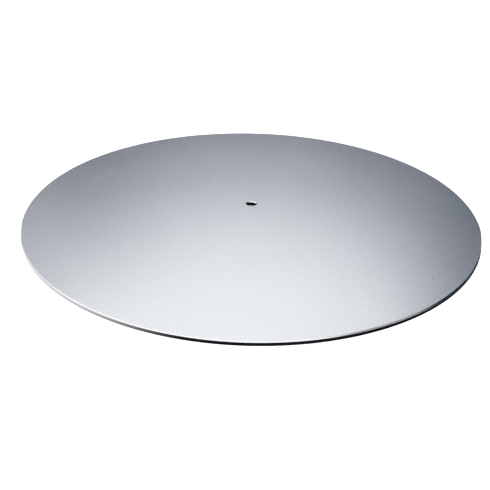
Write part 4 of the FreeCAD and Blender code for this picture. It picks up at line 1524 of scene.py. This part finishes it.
# %% Turn the base
NECK = 27.0
SWEEP = 14.0
BASE_EDGE = 12.0
BASE_RISE = 16.0
COVER_RECESS = 30.2
COVER_DEPTH = 2.0
STEP_RADIUS = 15.0
SKIN_DEPTH = 0.22
FEET_HEIGHT = heights("base_casting")[0]
base_radius = reach("base_casting")
upper_seat = heights("upper_outer_ring")[0]
lower_face, lower_seat = heights("lower_outer_ring")
clip_slot = heights("housing_clip")[0]
outside_outline = [
    (COVER_RECESS, FEET_HEIGHT, 0.3),
    (base_radius, FEET_HEIGHT, 1.0),
    (base_radius, FEET_HEIGHT + BASE_EDGE, 4.0),
    (NECK, FEET_HEIGHT + BASE_RISE, SWEEP),
    (NECK, NECK_TOP, 1.0),
    (BEARING_RADIUS + 0.3, NECK_TOP),
]
bore_outline = [
    (BEARING_RADIUS, NECK_TOP - 0.3),
    (BEARING_RADIUS, upper_seat),
    (STEP_RADIUS, upper_seat, 0.3),
    (STEP_RADIUS, lower_seat, 0.3),
    (BEARING_RADIUS, lower_seat),
    (BEARING_RADIUS, lower_face),
    (housing_clip_outer, lower_face),
    (housing_clip_outer, clip_slot),
    (BEARING_RADIUS, clip_slot),
    (BEARING_RADIUS, FEET_HEIGHT + COVER_DEPTH),
    (COVER_RECESS, FEET_HEIGHT + COVER_DEPTH),
]
base = lathe("base_iron", outside_outline + bore_outline, ENAMEL, sides=320, longest=1.6)
skin = {"Depth": SKIN_DEPTH * MM, "Waves": 160.0, "Inside": NECK - 0.02, "Seed": 4.0, "Finish": ENAMEL}
base = tidy(grow(base, SKIN, skin))
print("base turned:", len(base.data.polygons), "faces")

# %% Cut the underside
RELIEF_INNER = 36.0
RELIEF_OUTER = 70.0
RELIEF_DEPTH = 3.5
RELIEF_ROUND = 1.5
FEET = 4
FEET_RING = 60.0
FOOT_RADIUS = 10.0
FOOT_FIT = 0.2
PAD_WALL = 3.0
POCKET_DEPTH = 5.0
FOOT_SCREW = 2.0
FOOT_SCREW_END = heights("foot_screws")[1] + 0.3
COVER_SCREWS = 3
COVER_RING = 24.0
COVER_SCREW = 1.5
COVER_SCREW_END = heights("cover_screws")[1] + 0.3
below = FEET_HEIGHT - 2


def relief_cutter():
    """The hollow of the underside, with cast rounds at its roof, less a round pad for each foot."""
    roof = FEET_HEIGHT + RELIEF_DEPTH
    corners = [(RELIEF_INNER, below), (RELIEF_OUTER, below)]
    corners += [(RELIEF_OUTER, roof, RELIEF_ROUND), (RELIEF_INNER, roof, RELIEF_ROUND)]
    hollow = lathe("relief", corners, ENAMEL, sides=240)
    pad = plain_drill("pad", FOOT_RADIUS + FOOT_FIT + PAD_WALL, below - 1, roof + 1, sides=96)
    return combine(hollow, ring_of(move(pad, x=FEET_RING), FEET, 0, ENAMEL))


def foot_cutter():
    """A foot's pocket, with a broken edge, and the tapped hole in its middle."""
    fit = FOOT_RADIUS + FOOT_FIT
    roof = FEET_HEIGHT + POCKET_DEPTH
    corners = [(0, below), (fit + 0.6, below), (fit + 0.6, FEET_HEIGHT - 0.1), (fit, FEET_HEIGHT + 0.5)]
    corners += [(fit, roof, 0.5), (FOOT_SCREW + 0.4, roof), (FOOT_SCREW, roof + 0.4)]
    corners += [(FOOT_SCREW, FOOT_SCREW_END), (0, FOOT_SCREW_END + 1)]
    return lathe("foot_cutter", corners, ENAMEL, sides=96, closed=False)


base = combine(base, relief_cutter())
base = combine(base, ring_of(move(foot_cutter(), x=FEET_RING), FEET, 0, ENAMEL))
cover_drill = plain_drill("cover_drill", COVER_SCREW, FEET_HEIGHT, COVER_SCREW_END)
base = combine(base, ring_of(move(cover_drill, x=COVER_RING), COVER_SCREWS, 0, ENAMEL))
stand_for(base, "base", "painted_iron", "base_casting")

# %% [markdown]
# ## The cover and its screws
# A plated sheet closes the bearing housing from below. It is stamped with a shallow ring, which stiffens a
# thin sheet, and its three screws are sunk flush so that nothing scratches the table.

# %% Cover
COVER_HEAD = 2.8
BEAD_RING = 15.0
BEAD_WIDTH = 4.0
BEAD_DEPTH = 0.5
BEAD_SLOPE = 0.8
SINK_SLACK = 0.05
cover_low, cover_high = heights("bearing_cover")
cover_radius = reach("bearing_cover")
bead_in, bead_out = BEAD_RING - BEAD_WIDTH / 2, BEAD_RING + BEAD_WIDTH / 2
cover_outline = [
    (0, cover_low),
    (bead_in, cover_low, 1.0),
    (bead_in + BEAD_SLOPE, cover_low + BEAD_DEPTH, 1.0),
    (bead_out - BEAD_SLOPE, cover_low + BEAD_DEPTH, 1.0),
    (bead_out, cover_low, 1.0),
    (cover_radius, cover_low, 0.3),
    (cover_radius, cover_high, 0.3),
    (0, cover_high),
]
cover = lathe("housing_cover_plate", cover_outline, ZINC, sides=192, closed=False, longest=5)
sink_depth = COVER_HEAD - COVER_SCREW
sink_outline = [
    (0, cover_low - 1),
    (COVER_HEAD + SINK_SLACK, cover_low - 1),
    (COVER_HEAD + SINK_SLACK, cover_low + 0.02),
    (COVER_SCREW + SINK_SLACK, cover_low + sink_depth + 0.02),
    (COVER_SCREW + SINK_SLACK, cover_high + 1),
    (0, cover_high + 1),
]
sink = lathe("sink", sink_outline, ZINC, sides=64, closed=False)
cover = combine(cover, ring_of(move(sink, x=COVER_RING), COVER_SCREWS, 0, ZINC))
stand_for(cover, "base", "zinc_plated", "bearing_cover")

# %% Cover screws
M3_PITCH = 0.5
COVER_SOCKET = 2.0
COVER_SOCKET_DEPTH = 1.2
screw_low, screw_high = heights("cover_screws")
m3_end = end_of(COVER_SCREW, M3_PITCH)
cover_screw = threaded(
    "cover_screw_set",
    [
        (0, screw_low),
        (COVER_HEAD - 0.15, screw_low),
        (COVER_HEAD, screw_low + 0.12),
        (COVER_SCREW - 0.2, screw_low + sink_depth + 0.2),
        (m3_end, screw_low + sink_depth + 0.7),
    ],
    thread(COVER_SCREW, M3_PITCH, screw_low + sink_depth + 0.7, screw_high),
    [(0, screw_high)],
    ZINC,
)
cover_screw = socket(cover_screw, COVER_SOCKET, screw_low, COVER_SOCKET_DEPTH, ZINC)
cover_screw = ring_of(move(cover_screw, x=COVER_RING), COVER_SCREWS, 0, ZINC)
stand_for(cover_screw, "base", "zinc_plated", "cover_screws")

# %% [markdown]
# ## The feet
# Rubber feet keep the wheel from walking over the table while it spins. Each is let into a pocket of the
# base and held by a screw and a washer at the bottom of a recess, well clear of the table. Two fine
# grooves round the sole let it grip, and one foot is made and repeated like every other ring of pieces.

# %% Rubber feet
SOLE_ROUND = 1.0
FOOT_RECESS_RADIUS = 4.9
GROOVE_WIDTH = 0.8
GROOVE_DEPTH = 0.6
GROOVES = (6.3, 8.0)
foot_low, foot_high = heights("rubber_feet")
recess_high = heights("foot_washers")[1]
sole = [(FOOT_RECESS_RADIUS, foot_low, 0.3)]
for groove in GROOVES:
    near, far = groove - GROOVE_WIDTH / 2, groove + GROOVE_WIDTH / 2
    sole += [(near, foot_low, 0.12), (near + 0.1, foot_low + GROOVE_DEPTH, 0.1)]
    sole += [(far - 0.1, foot_low + GROOVE_DEPTH, 0.1), (far, foot_low, 0.12)]
foot_outline = sole + [
    (FOOT_RADIUS, foot_low, SOLE_ROUND),
    (FOOT_RADIUS, foot_high, 0.4),
    (FOOT_SCREW, foot_high),
    (FOOT_SCREW, recess_high),
    (FOOT_RECESS_RADIUS, recess_high),
]
foot = lathe("rubber_foot_set", foot_outline, RUBBER, sides=96)
stand_for(ring_of(move(foot, x=FEET_RING), FEET, 0, RUBBER), "base", "rubber", "rubber_feet")
foot_washer = move(washer("foot_washer_set", "foot_washers", WASHER_HOLE, WASHER_RADIUS), x=FEET_RING)
stand_for(ring_of(foot_washer, FEET, 0, ZINC), "base", "zinc_plated", "foot_washers")

# %% Foot screws
PAN_RADIUS = 3.8
PAN_HEIGHT = 2.4
FOOT_SOCKET = 2.5
FOOT_SOCKET_DEPTH = 1.4
pan_low, foot_screw_high = heights("foot_screws")
pan_high = pan_low + PAN_HEIGHT
foot_screw_end = end_of(FOOT_SCREW, STUD_PITCH)
pan_corners = [(0, pan_low), (PAN_RADIUS - 0.2, pan_low, 1.0)]
pan_corners += [(PAN_RADIUS, pan_high, 0.15), (FOOT_SCREW - 0.3, pan_high)]
pan = outline(pan_corners, closed=False)
foot_screw = threaded(
    "foot_screw_set",
    [*pan, (foot_screw_end, pan_high + 0.8)],
    thread(FOOT_SCREW, STUD_PITCH, pan_high + 0.8, foot_screw_high),
    [(0, foot_screw_high)],
    ZINC,
)
foot_screw = socket(foot_screw, FOOT_SOCKET, pan_low, FOOT_SOCKET_DEPTH, ZINC)
stand_for(ring_of(move(foot_screw, x=FEET_RING), FEET, 0, ZINC), "base", "zinc_plated", "foot_screws")

# %% Finish
everything = sum(len(face.vertices) - 2 for piece in DONE for face in piece.data.polygons)
print(f"{len(DONE)} pieces, {everything} triangles in all")
